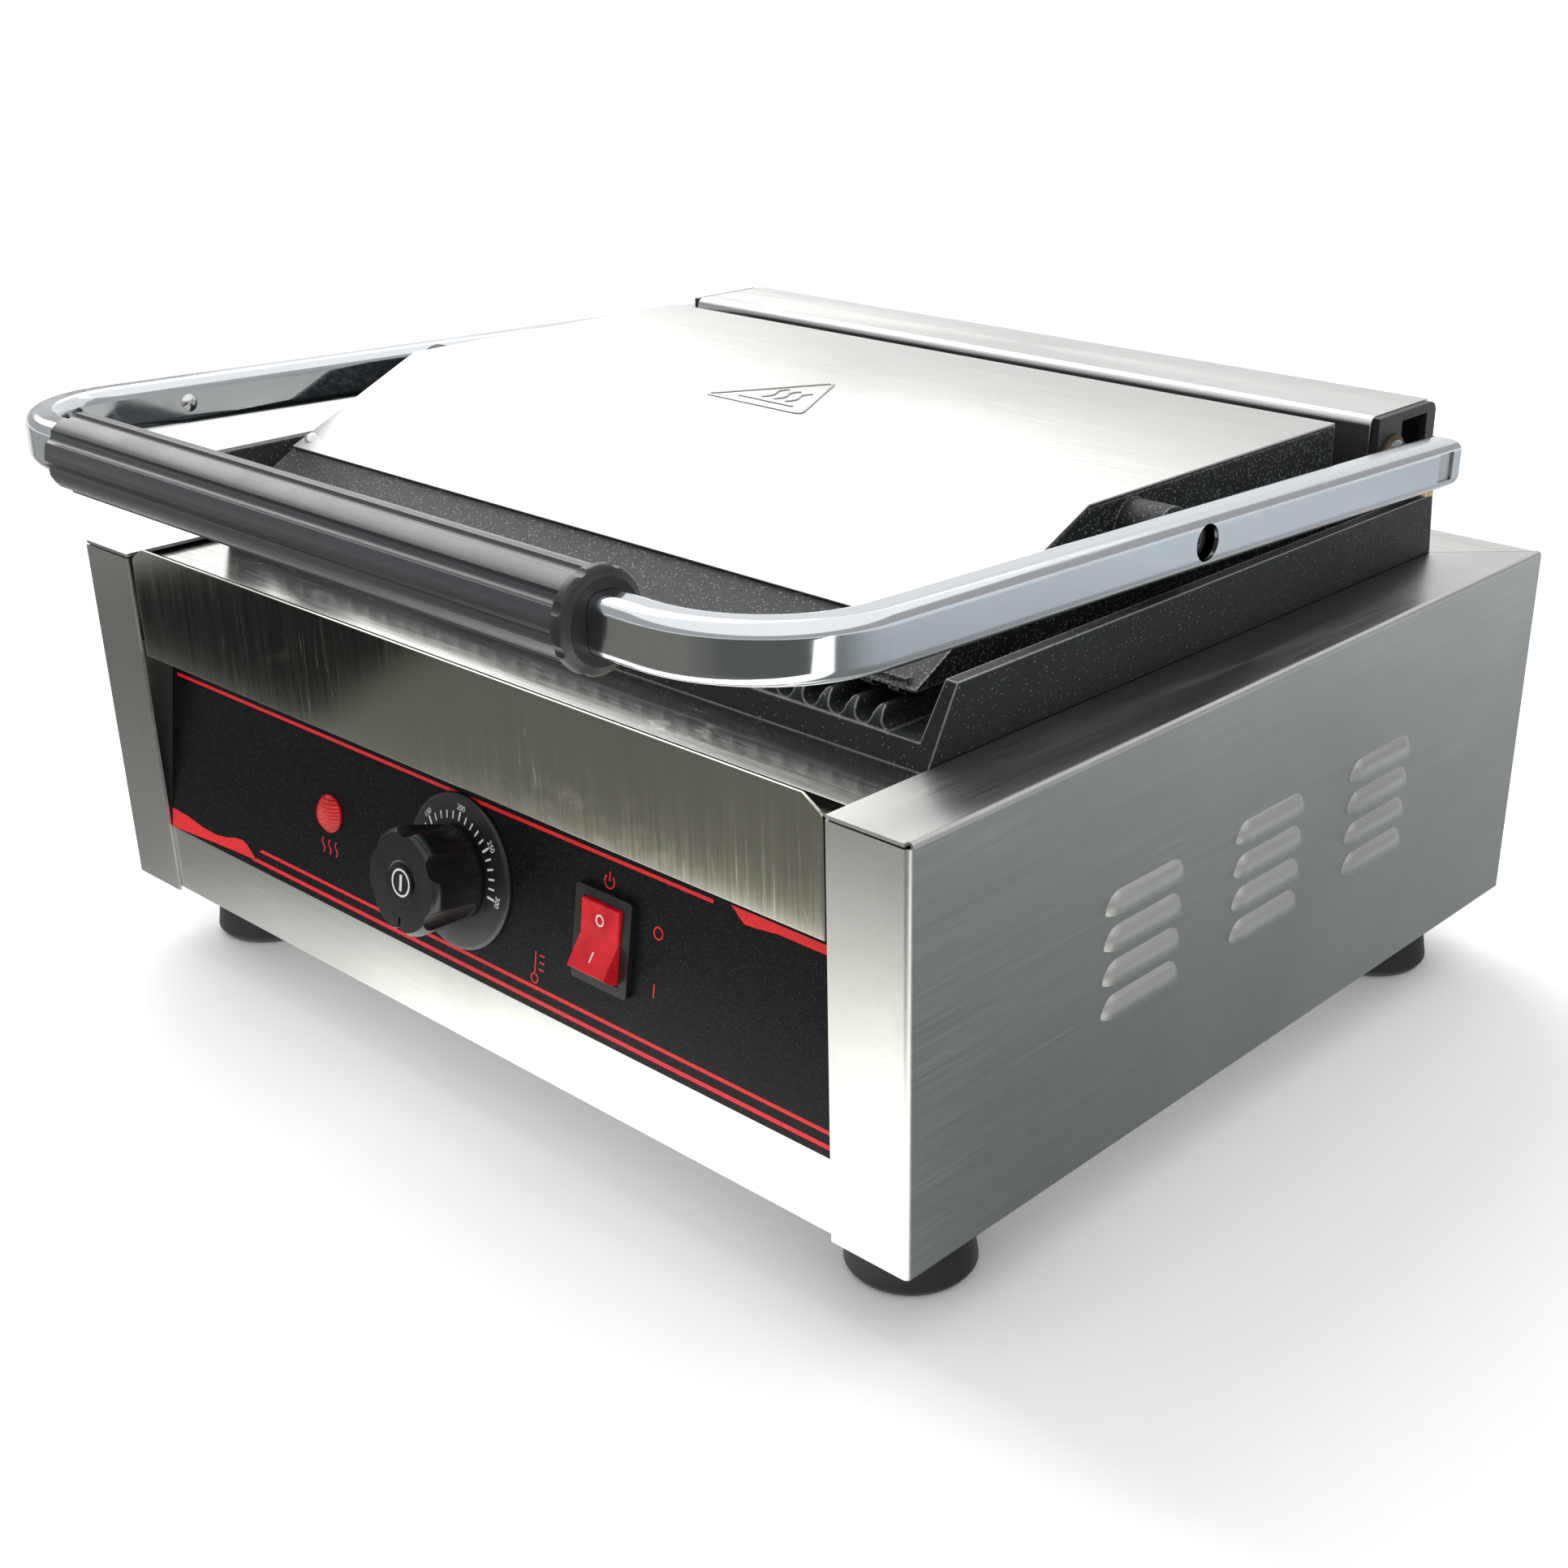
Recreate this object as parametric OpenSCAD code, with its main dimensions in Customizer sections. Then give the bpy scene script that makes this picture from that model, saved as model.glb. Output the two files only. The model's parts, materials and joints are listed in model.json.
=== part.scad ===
// Countertop panini press: one grooved contact grill with a floating upper plate,
// a U-shaped chromed handle, a thermostat, a rocker switch and a slide-out drip tray.
// Millimetres, +Z up, front towards -Y. The origin is the bottom centre of the box around it.

/* [Case] */
// Width of the case over its side panels
body_w = 430; // [380:1:520]
// Depth of the case, front flange to rear panel
body_d = 365; // [340:1:450]
// Height of the case without its feet
body_h = 142; // [130:1:180]
// Thickness of the folded stainless sheet
sheet = 1.2; // [0.8:0.1:2]
// Width of the flanges that frame the front and the top
flange_w = 31; // [24:1:40]
// Outer radius of the bends between flange and side wall
bend_r = 2; // [1.6:0.1:4]
// Depth of the deck below the top flanges
deck_drop = 2.5; // [2:0.1:6]

/* [Feet] */
// Height of a rubber foot
foot_h = 28; // [15:1:40]
// Radius of a foot where it stands
foot_r = 22; // [15:1:28]
// Distance of a foot's centre from the case's side
foot_side = 33; // [28:1:60]
// Distance of a foot's centre from the case's front or rear
foot_end = 39; // [30:1:70]

/* [Louvres] */
// Number of louvre groups on each side
louvre_groups = 3; // [1:1:3]
// Number of louvres in a group
louvre_rows = 4; // [2:1:5]
// Length of a louvre
louvre_len = 42; // [30:1:50]
// Height between one louvre and the next
louvre_pitch = 12.2; // [11:0.1:16]
// Distance between groups, start to start
louvre_step = 71.5; // [60:0.5:80]
// Height of a louvre's hood
louvre_h = 7.3; // [5:0.1:9]
// How far a louvre stands out of the wall
louvre_out = 3; // [2:0.1:4]

/* [Control panel] */
// Height of the upright strip under the leaning panel
strip_h = 28; // [20:1:40]
// Lean of the panel from upright, degrees
panel_lean = 9.4; // [0:0.1:15]
// Dial centre, from the middle of the case
dial_x = 2; // [-30:1:30]
// Height of the dial's centre up the panel
dial_s = 37.5; // [34:0.5:42]
// Radius of the numbered dial ring
dial_r = 28; // [24:0.5:30]
// Radius of the thermostat knob
knob_r = 18.5; // [14:0.5:20]
// How far the knob stands out of the panel
knob_h = 26.5; // [16:0.5:30]
// Heat lamp, from the middle of the case
lamp_x = -75; // [-120:1:-50]
// Height of the lamp's centre up the panel
lamp_s = 36.5; // [30:0.5:46]
// Radius of the heat lamp's lens
lamp_r = 7.1; // [5.5:0.1:10]
// Rocker switch, from the middle of the case
switch_x = 77.8; // [60:0.1:140]
// Height of the switch's centre up the panel
switch_s = 36.8; // [32:0.1:42]
// Width of the switch frame
switch_w = 27; // [22:0.5:30]
// Height of the switch frame
switch_l = 33; // [28:0.5:36]

/* [Drip tray] */
// Height of the tray's front
tray_face_h = 44; // [36:1:46]
// How far the tray's front rises above the top flanges
tray_rise = 3.5; // [0:0.1:6]
// Depth of the tray, front to back
tray_depth = 74; // [50:1:90]
// Travel of the tray
tray_travel = 60; // [40:1:80]

/* [Grill plates] */
// Distance from the case's front to the lower plate
plate_front = 44; // [40:1:70]
// Length of the lower plate's grooved bed
plate_len = 246; // [220:1:290]
// Thickness of a plate's bed under its ribs
plate_t = 7; // [5:0.5:10]
// Height of a rib
rib_h = 6.5; // [3:0.5:8]
// Distance from rib to rib
rib_pitch = 10.8; // [8:0.1:14]
// Height of the lower plate's side walls above the deck
wall_h = 31.5; // [24:0.5:33]
// Outward lean of the side walls over their height
wall_lean = 10.5; // [4:0.5:12]
// Gap left between the closed plates
plate_gap = 0.4; // [0.3:0.1:2]

/* [Lid] */
// Width of the upper plate and its cover
lid_w = 344; // [300:1:430]
// Distance from the case's front to the upper plate's lip
lid_front = 51.5; // [46:0.5:80]
// Distance from the case's front to the cover's lower edge
cover_front = 70.5; // [60:0.5:90]
// Distance from the case's front to the cover's fold
cover_fold = 132; // [110:0.5:160]
// Distance from the case's front to the cover's rear edge
cover_back = 276; // [260:0.5:340]
// Height of the closed lid above the case
lid_rise = 58; // [54:0.5:70]
// Thickness of the cover
cover_t = 1; // [0.8:0.1:1.5]

/* [Hinge] */
// Gap between the hinge cover and the rear flange behind it
hinge_gap = 0.2; // [0.2:0.1:40]
// Depth of the hinge cover
hinge_d = 40.8; // [38:0.1:48]
// Gap between the axle's bushes and the front of the hinge cover
axle_gap = 0.8; // [0.5:0.1:6]
// Height of the axle above the case
axle_rise = 41.5; // [38:0.5:46]
// Radius of the axle
axle_r = 6.5; // [5.5:0.1:8]
// Width across the axle's square ends
axle_sq = 10; // [8:0.1:11]

/* [Handle] */
// Distance from the case's front out to the grip's centre line
handle_reach = 33.5; // [20:0.5:60]
// Rise of the handle from the axle to the grip
handle_rise = 11.5; // [0:0.5:25]
// Height of the flat-sided tube
tube_h = 18; // [14:0.5:22]
// Thickness of the flat-sided tube
tube_t = 13; // [10:0.5:16]
// Wall of the tube
tube_wall = 1.5; // [1:0.1:2]
// Gap between a hinge bracket and the arm beside it
arm_gap = 9.4; // [6:0.1:60]
// Radius of the bends, on the centre line
tube_bend = 43; // [30:1:60]
// Radius of the grip
grip_r = 14; // [12:0.5:17]
// Radius of the collar at the grip's right end
collar_r = 15.5; // [15:0.5:20]
// Left end of the grip, from the middle
grip_left = 139; // [100:1:150]
// Right end of the collar, from the middle
grip_right = 136; // [100:1:150]
// Distance from the axle to the pivots of the upper plate, along an arm
pivot_back = 151; // [120:1:190]
// Radius of the pivot bolts
pivot_r = 4; // [3:0.1:5]

/* [Hidden] */
$fn = 48;
eps = 0.01;
fit = 0.05;          // running clearance of a shaft in its bore, on the radius
slack = 0.4;         // clearance between pieces that only lie near each other
gland_out = 14;      // how far the cord gland stands out of the rear panel
thin = 0.4;          // thickness of the printed film

// The handle reaches out in front and the gland behind: the origin is midway.
front_y = -(body_d + gland_out - handle_reach - collar_r) / 2;
rear_y = front_y + body_d;
case_z = foot_h;
top_z = case_z + body_h;
deck_z = top_z - deck_drop;
side_x = body_w / 2;
open_x = side_x - flange_w;          // inner edge of the flanges
rear_flange = flange_w - 1;

// Control panel: local +Y runs up the panel, local +Z out of it.
panel_y = front_y + sheet + 0.1;
panel_z = case_z + strip_h;
tray_top = top_z + tray_rise;
tray_bottom = tray_top - tray_face_h;
panel_len = (tray_bottom - 2.2 - panel_z) / cos(panel_lean);
film_w = 2 * (open_x - 0.6);

// Plates
plate_x = open_x - slack;            // half width of the lower plate at the deck
plate_y0 = front_y + plate_front;
plate_y1 = plate_y0 + plate_len;
bed_z = deck_z + plate_t + 2.5;      // top of the lower bed, under the ribs
rib_z = bed_z + rib_h;               // rib tips of the lower plate
bed_x = lid_w / 2 + 8;               // half width between the side walls
rib_n = floor((lid_w - 12) / 2 / rib_pitch);
upper_z = rib_z + plate_gap;         // rib tips of the upper plate
upper_bed = upper_z + rib_h;
lid_z = top_z + lid_rise;
lid_x = lid_w / 2;
lid_y0 = front_y + lid_front;
cover_y0 = front_y + cover_front;
fold_y = front_y + cover_fold;
cover_y1 = front_y + cover_back;
cover_low = top_z + 0.53 * lid_rise; // height of the cover's lower edge
lip_z = top_z + 0.33 * lid_rise;     // height of the cast lip's lower edge
cast_t = 6;                          // wall of the upper casting

// Heater packs
heat_r = 4;                          // radius of the sheathed heater
heat_bend = 22;                      // radius of a heater's returns
pack_x = lid_x - cast_t - 16;        // half width of the packs, clear of the casting's walls
heat_run = pack_x - 12 - heat_bend;  // half length of a heater's straight runs
heat_rows = 4;
heat_low_y = plate_y0 + 50;          // first run under the lower plate
heat_up_y = cover_y1 - 154;          // first run over the upper plate
pack_d = (heat_rows - 1) * 2 * heat_bend + 28;
pack_y0 = heat_low_y - 14;
pack_y1 = pack_y0 + pack_d;
lower_heater_z = deck_z - 2 - heat_r - 0.1;
lower_clamp_z = lower_heater_z - heat_r - 1.7;
upper_heater_z = upper_bed + plate_t + heat_r + 0.1;
upper_clamp_z = upper_heater_z + heat_r + 0.2;

// Hinge
hinge_y = rear_y - rear_flange - hinge_gap - hinge_d;
hinge_z = lid_z - 0.5;               // top of the hinge cover
hinge_x = open_x - 8;                // half length of the hinge cover
bracket_t = 3;
bracket_x = hinge_x + 0.1;           // inner face of a bracket, beside the cover's end
bush_r = axle_r + 1.8;
bush_flange_r = bush_r + 1.2;
axle_y = hinge_y + sheet + bush_flange_r + axle_gap;
axle_z = top_z + axle_rise;
arm_x = bracket_x + bracket_t + arm_gap + tube_t / 2;   // centre line of an arm
tube_r = 4.5;   // rounding of the tube's corners

// Handle, in its own plane: local -Y runs from the axle to the grip.
grip_run = axle_y - (front_y - handle_reach);
handle_tilt = atan(handle_rise / grip_run);
reach = grip_run / cos(handle_tilt);
collar_w = 6;
screw_run = reach - tube_bend - 29;   // from the axle to the arms' dome screws
pivot_y = axle_y - pivot_back * cos(handle_tilt);
pivot_z = axle_z + pivot_back * sin(handle_tilt);

// Controls
knob_mark_r = 0.73 * dial_r;
spindle_r = 3;
knob_base = thin + 3 + slack;        // back of the knob's grip, over the ring
knob_face = knob_base + knob_h - 5.6;
rocker_r = (switch_l - 7.2) / 2;     // radius swept by the rocker's ends
rocker_w = switch_w - 9;
rocker_tilt = 12;                    // tilt to either side of level
switch_depth = 24;

// Cord gland
gland_x = -side_x + 95;
gland_z = case_z + 36;
gland_bore = 4.25;

steel = [0.72, 0.73, 0.72];
dark_steel = [0.5, 0.52, 0.51];
mirror_steel = [0.6, 0.61, 0.57];
iron = [0.1, 0.11, 0.12];
black = [0.06, 0.06, 0.07];
red = [0.82, 0.06, 0.08];
chrome = [0.83, 0.86, 0.89];
wool = [0.9, 0.89, 0.84];

// ---- Shapes used by several pieces ----

// Flat shape with round corners, centred
module round_rect(w, h, r) {
  square([w - 2 * r, h], center = true);
  square([w, h - 2 * r], center = true);
  for (x = [-1, 1], y = [-1, 1])
    translate([x * (w / 2 - r), y * (h / 2 - r)]) circle(r);
}

// Block between two corners
module span(a, b) {
  translate(a) cube([b[0] - a[0], b[1] - a[1], b[2] - a[2]]);
}

// Outline in the Y-Z plane, pulled out to both sides of x
module across(x0, x1) {
  translate([x0, 0, 0]) rotate([90, 0, 90]) linear_extrude(x1 - x0) children();
}

// Outline in the X-Z plane, pulled from y0 back to y1
module along(y0, y1) {
  translate([0, y1, 0]) rotate([90, 0, 0]) linear_extrude(y1 - y0) children();
}

// The same piece on the left and the right
module both_sides() {
  children();
  mirror([1, 0, 0]) children();
}

// Place on the leaning panel, s above its lower edge
module on_panel(x, s) {
  translate([x, panel_y, panel_z]) rotate([90 - panel_lean, 0, 0]) translate([0, s, 0]) children();
}

// Rod along X between two places
module rod_x(x0, x1, r, y = 0, z = 0) {
  translate([x0, y, z]) rotate([0, 90, 0]) cylinder(h = x1 - x0, r = r);
}

// Dome head with a short shank, standing on z = 0
module dome_screw(r, shank_r, shank_l, h = 0) {
  head = h > 0 ? h : r * 0.55;
  ball = (r * r + head * head) / (2 * head);
  intersection() {
    translate([0, 0, head - ball]) sphere(ball);
    cylinder(h = head, r = r);
  }
  translate([0, 0, -shank_l]) cylinder(h = shank_l + eps, r = shank_r);
}

// ---- Case ----

// Quarter-round fold along Y: outside at (x1, z1)
module fold_outline(x1, z1) {
  difference() {
    translate([x1 - bend_r, z1 - bend_r]) intersection() {
      circle(bend_r);
      square(bend_r);
    }
    translate([x1 - bend_r, z1 - bend_r]) circle(bend_r - sheet);
  }
}

// Pressed hood with rounded ends, open along its lower edge
module louvre_hood() {
  wall = 1;
  r = (louvre_h * louvre_h + louvre_out * louvre_out) / (2 * louvre_out);
  c = side_x + louvre_out - r;
  y0 = louvre_h;
  y1 = louvre_len - louvre_h;
  difference() {
    intersection() {
      capsule_y(c, y0, y1, 0, r);
      span([side_x - sheet, 0, 0], [side_x + louvre_out + 1, louvre_len, louvre_h]);
    }
    capsule_y(c, y0, y1, 0, r - wall);
  }
}

module capsule_y(x, y0, y1, z, r) {
  translate([x, y1, z]) rotate([90, 0, 0]) cylinder(h = y1 - y0, r = r);
  for (y = [y0, y1]) translate([x, y, z]) sphere(r);
}

module louvres() {
  for (g = [0 : louvre_groups - 1], k = [0 : louvre_rows - 1])
    translate([0, front_y + 91 + g * louvre_step, case_z + body_h * 0.613 - k * louvre_pitch])
      children();
}

module side_panel() {
  color(dark_steel) {
    difference() {
      union() {
        // wall
        span([side_x - sheet, front_y + bend_r, case_z], [side_x, rear_y, top_z - bend_r]);
        // front flange and its bend, a slit below the top flange
        translate([0, 0, case_z]) linear_extrude(body_h - sheet - 0.5) {
          translate([open_x, front_y]) square([flange_w - bend_r, sheet]);
          translate([0, front_y]) mirror([0, 1]) fold_outline(side_x, 0);
        }
        // top flange and its bend, mitred at the rear
        along(front_y + bend_r, rear_y) fold_outline(side_x, top_z);
        top_flange();
        // bottom and rear flanges
        span([side_x - 16, front_y + 4, case_z], [side_x - eps, rear_y - 4, case_z + sheet]);
        span([side_x - 16, rear_y - 2 * sheet - 0.1, case_z + 3],
             [side_x - eps, rear_y - sheet - 0.1, top_z - 4]);
      }
      louvres() span([side_x - 2 * sheet, 4, -0.6], [side_x + 1, louvre_len - 4, 0.6 * louvre_h]);
      rear_screw_places() cylinder(h = 12, r = 1.8, center = true);
    }
    louvres() louvre_hood();
  }
}

module top_flange() {
  translate([0, 0, top_z - sheet]) linear_extrude(sheet)
    polygon([[open_x, front_y + 0.2], [side_x - bend_r, front_y + 0.2],
             [side_x - bend_r, mitre_y(side_x - bend_r) - 0.2],
             [open_x, mitre_y(open_x) - 0.2]]);
}

// Where the mitre between the side and rear flanges lies
function mitre_y(x) = rear_y - (side_x - x) * rear_flange / flange_w;

module side_panel_left() mirror([1, 0, 0]) side_panel();
module side_panel_right() side_panel();

module rear_screw_places() {
  for (x = [-1, 1], z = [case_z + 14, top_z - 14])
    translate([x * (side_x - 9), rear_y, z]) rotate([-90, 0, 0]) children();
}

module rear_panel() {
  x = side_x - sheet - 0.2;
  fold_x = side_x - bend_r - 0.6;
  color(dark_steel) difference() {
    union() {
      span([-x, rear_y - sheet, case_z], [x, rear_y, top_z - bend_r]);
      across(-fold_x, fold_x) fold_outline(rear_y, top_z);
      translate([0, 0, top_z - sheet]) linear_extrude(sheet)
        polygon([[-open_x, mitre_y(open_x) + 0.2], [open_x, mitre_y(open_x) + 0.2],
                 [fold_x, mitre_y(fold_x) + 0.2], [fold_x, rear_y - bend_r],
                 [-fold_x, rear_y - bend_r], [-fold_x, mitre_y(fold_x) + 0.2]]);
    }
    rear_screw_places() cylinder(h = 12, r = 1.8, center = true);
    translate([gland_x, rear_y, gland_z]) rotate([90, 0, 0])
      cylinder(h = 8, r = gland_bore + 4.75, center = true);
    for (k = [0 : 7])
      translate([40 + k * 12, rear_y - sheet / 2, case_z + body_h / 2]) rotate([90, 0, 0])
        linear_extrude(4 * sheet, center = true) round_rect(4, 44, 1.9);
  }
}

module base_plate() {
  x = side_x - sheet - 0.3;
  color(dark_steel) difference() {
    span([-x, front_y + 2 * sheet + 0.6, case_z + sheet],
         [x, rear_y - 2 * sheet - 0.3, case_z + 2 * sheet]);
    foot_places() cylinder(h = 3 * case_z, r = 2.75, center = true);
    for (k = [-4 : 4]) translate([k * 24, front_y + body_d * 0.55, case_z])
      linear_extrude(20, center = true) round_rect(5, 60, 2.4);
  }
}

module foot_places() {
  for (x = [-1, 1], y = [front_y + foot_end, rear_y - foot_end])
    translate([x * (side_x - foot_side), y, 0]) children();
}

module foot(x, y) {
  // The foot stands on the floor and holds the case up at its bottom flange.
  recess_r = 8;
  color(black) translate([x, y, 0]) rotate_extrude()
    difference() {
      polygon([[2.75, 0], [foot_r - 2, 0], [foot_r, 2.5], [foot_r - 0.6, 6],
               [foot_r - 4, foot_h - eps], [2.75, foot_h - eps]]);
      translate([0, -1]) square([recess_r, foot_h - 7]);
    }
}

module foot_front_left() foot(-side_x + foot_side, front_y + foot_end);
module foot_front_right() foot(side_x - foot_side, front_y + foot_end);
module foot_rear_left() foot(-side_x + foot_side, rear_y - foot_end);
module foot_rear_right() foot(side_x - foot_side, rear_y - foot_end);

module foot_screws() {
  seat = foot_h - 8;
  color(steel) foot_places() {
    translate([0, 0, seat]) mirror([0, 0, 1]) dome_screw(5.5, 2.5, 1);
    translate([0, 0, seat]) cylinder(h = 8 + 2 * sheet + 2, r = 2.5);
    translate([0, 0, case_z + 2 * sheet]) difference() {
      cylinder(h = 4, r = 4.6, $fn = 6);
      translate([0, 0, -1]) cylinder(h = 6, r = 2.4);
    }
  }
}

module deck_plate() {
  lip = 9;
  y0 = front_y + 13;
  color(steel) difference() {
    union() {
      span([-side_x + 12, y0, deck_z - sheet], [side_x - 12, rear_y - 8, deck_z]);
      span([-open_x + 4, y0, deck_z - lip], [open_x - 4, y0 + sheet, deck_z]);
    }
    span([-pack_x - 1, pack_y0 - 1, deck_z - 20], [pack_x + 1, pack_y1 + 1, deck_z + 1]);
    bracket_screw_places() cylinder(h = 20, r = 2.2, center = true);
  }
}

// ---- Control panel ----

module control_panel() {
  a = panel_lean;
  n = [cos(a), -sin(a)];               // into the case, then down
  top = [panel_y + panel_len * sin(a), panel_z + panel_len * cos(a)];
  x = side_x - sheet - 1;
  color(steel) difference() {
    across(-x, x) polygon([
      [panel_y, case_z + sheet + 0.2], [panel_y, panel_z], top,
      [top[0] + 22, top[1]], [top[0] + 22, top[1] - sheet],
      [top[0] + sheet * n[0], top[1] - sheet], [panel_y + sheet, panel_z],
      [panel_y + sheet, case_z + sheet + 0.2]]);
    panel_cuts();
  }
}

module panel_cuts() {
  on_panel(dial_x, dial_s) cylinder(h = 20, r = spindle_r + 2, center = true);
  on_panel(lamp_x, lamp_s) cylinder(h = 20, r = 5.3, center = true);
  on_panel(switch_x, switch_s) cube([switch_w - 3.6, switch_l - 3.6, 20], center = true);
}

module panel_film() {
  color(black) difference() {
    on_panel(0, panel_len / 2 + 0.2) linear_extrude(thin)
      square([film_w, panel_len - 1], center = true);
    panel_cuts();
  }
}

// Knob and dial stand on the film.
module dial_ring() {
  rim = 3;
  color(black) on_panel(dial_x, dial_s) translate([0, 0, thin]) rotate_extrude()
    polygon([[knob_r - 3, 0], [dial_r, 0], [dial_r - 0.2, 1.2], [dial_r - 1.6, 2.1],
             [knob_mark_r - 2, rim], [knob_r - 3, rim]]);
}

module thermostat_knob() {
  flutes = 6;
  skirt = 1.6;                          // gap between the knob and the panel
  face_r = knob_r + 0.6;                // the knob widens towards its face
  color(black) on_panel(dial_x, dial_s) difference() {
    union() {
      translate([0, 0, knob_base]) rotate_extrude()
        polygon([[0, 0], [knob_r - 1.6, 0], [knob_r - 1.2, 2], [face_r, knob_h - 8],
                 [face_r - 0.4, knob_h - 6.2], [face_r - 1.8, knob_h - 4.8], [8, knob_h - 4.9],
                 [7, knob_h - 5.6], [0, knob_h - 5.6]]);
      translate([0, 0, skirt]) cylinder(h = 4, r = knob_r - 4);
    }
    for (k = [0 : flutes - 1]) rotate([0, 0, (k + 0.5) * 360 / flutes])
      translate([knob_r + 4.4, 0, thin + 6]) cylinder(h = knob_h, r = 6.6);
    cylinder(h = 12, r = spindle_r);
    // pointer groove, at the off mark when at rest
    rotate([0, 0, 180]) translate([0, knob_r - 2.6, knob_h - 3]) cube([1.4, 7, 8], center = true);
  }
}

module knob_cap() {
  color(steel) on_panel(dial_x, dial_s) translate([0, 0, knob_face]) cylinder(h = 0.7, r = 6);
}

module thermostat_spindle() {
  color(steel) on_panel(dial_x, dial_s) translate([0, 0, -8]) cylinder(h = 20, r = spindle_r);
}

module thermostat_body() {
  r = 19;
  color([0.75, 0.72, 0.65]) on_panel(dial_x, dial_s) difference() {
    union() {
      translate([0, 0, -38]) cylinder(h = 30, r = r);
      translate([0, 0, -8 - eps]) cylinder(h = 8 - sheet, r = spindle_r + 1.9);
      translate([-24, -7, -9.5]) cube([48, 14, 1.5]);
      for (x = [-8, 8]) translate([x - 3, -0.4, -46]) cube([6, 0.8, 9]);
    }
    translate([0, 0, -8.1]) cylinder(h = 12, r = spindle_r + fit);
  }
}

// Sensing bulb clipped under the lower plate, with its thin tube to the thermostat
module thermostat_bulb() {
  y = pack_y1 + 9;
  z = deck_z - sheet - 3.4;
  color([0.72, 0.45, 0.3]) {
    rod_x(-60, 40, 3, y, z);
    rod_x(40 - eps, dial_x + 60, 1, y, z);
    translate([dial_x + 60, y, z]) sphere(1.4);
    translate([dial_x + 60, y, z - 50]) cylinder(h = 50, r = 1);
  }
}

module lamp_lens() {
  color(red) on_panel(lamp_x, lamp_s) translate([0, 0, thin]) {
    rotate_extrude() polygon([[0, 0], [lamp_r, 0], [lamp_r, 0.9], [lamp_r - 0.8, 1.6],
      [lamp_r - 1.6, 2.5], [lamp_r - 3.6, 3.4], [0, 3.8]]);
    translate([0, 0, -3]) cylinder(h = 3.1, r = 5);
  }
}

module lamp_body() {
  color(black) on_panel(lamp_x, lamp_s) {
    translate([0, 0, -26]) cylinder(h = 23, r = 5);
    for (x = [-2.4, 2.4]) translate([x - 1.2, -0.4, -34]) cube([2.4, 0.8, 8.5]);
  }
}

module switch_frame() {
  w = switch_w;
  l = switch_l;
  color(black) on_panel(switch_x, switch_s) difference() {
    union() {
      translate([0, 0, thin]) linear_extrude(2.1) round_rect(w, l, 1.5);
      translate([0, 0, thin - switch_depth]) linear_extrude(switch_depth)
        square([w - 4, l - 4], center = true);
      for (y = [-7, 0, 7]) translate([-3, y - 0.4, -switch_depth - 8]) cube([6, 0.8, 9]);
    }
    // well that the rocker turns in
    translate([0, 0, -6.5]) linear_extrude(12)
      square([rocker_w + 0.8, 2 * rocker_r + 0.7], center = true);
    rod_x(-w / 2 + 0.6, w / 2 - 0.6, 1.5 + fit, 0, 0.2);
  }
}

// Off: its upper end is pressed in and its lower end stands out.
module switch_rocker() {
  color(red) on_panel(switch_x, switch_s) translate([0, 0, 0.2]) rotate([-rocker_tilt, 0, 0]) {
    across(-rocker_w / 2, rocker_w / 2) intersection() {
      circle(rocker_r);
      polygon([[-rocker_r, 5.8], [-rocker_r + 1.4, 6], [0, 3.2], [rocker_r - 1.4, 6],
               [rocker_r, 5.8], [rocker_r, -2.5], [-rocker_r, -2.5]]);
    }
    rod_x(-rocker_w / 2 - 1.2, rocker_w / 2 + 1.2, 1.5);
  }
}

module terminal_block() {
  color([0.9, 0.9, 0.86]) difference() {
    span([gland_x + 24, rear_y - 60, case_z + 2 * sheet],
         [gland_x + 64, rear_y - 38, case_z + 2 * sheet + 16]);
    for (k = [0 : 2]) translate([gland_x + 31 + k * 13, rear_y - 49, case_z + 8])
      cylinder(h = 20, r = 2.5);
  }
}

module cord_gland() {
  color(black) translate([gland_x, rear_y, gland_z]) rotate([-90, 0, 0]) difference() {
    union() {
      cylinder(h = gland_out - 4, r = 11);
      translate([0, 0, gland_out - 4 - eps]) cylinder(h = 4 + eps, r1 = 10.5, r2 = 8);
      translate([0, 0, -14]) cylinder(h = 14 + eps, r = gland_bore + 4.5);
    }
    translate([0, 0, -20]) cylinder(h = 60, r = gland_bore);
  }
}

module gland_nut() {
  color(black) translate([gland_x, rear_y - sheet - 0.05, gland_z]) rotate([90, 0, 0]) difference() {
    cylinder(h = 5, r = 13, $fn = 6);
    translate([0, 0, -1]) cylinder(h = 8, r = gland_bore + 4.5);
  }
}

module rear_screws() {
  color(steel) rear_screw_places() dome_screw(3.4, 1.7, 2 * sheet + 3);
}

// ---- Drip tray ----

module drip_tray() {
  w = open_x - 2;                        // half width of the front
  y0 = front_y + sheet;
  floor_z = tray_bottom + 1.6;
  box_x = w - 5;
  back_z = deck_z - 9 - 3;               // passes under the deck's front lip
  color(mirror_steel) {
    // front, with its top corners cut and its lower edge hemmed
    along(y0, y0 + sheet) polygon([
      [-w, tray_bottom], [w, tray_bottom], [w, tray_top - 6], [w - 1, tray_top - 4.4],
      [w - 8, tray_top], [-w + 8, tray_top], [-w + 1, tray_top - 4.4], [-w, tray_top - 6]]);
    span([-w + 6, y0 + sheet - eps, tray_bottom], [w - 6, y0 + 2.4 * sheet, tray_bottom + 9]);
    // box
    difference() {
      span([-box_x, y0 + eps, floor_z], [box_x, y0 + tray_depth, back_z]);
      span([-box_x + sheet, y0 + 2.4 * sheet, floor_z + sheet],
           [box_x - sheet, y0 + tray_depth - sheet, back_z + 1]);
    }
  }
}

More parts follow.
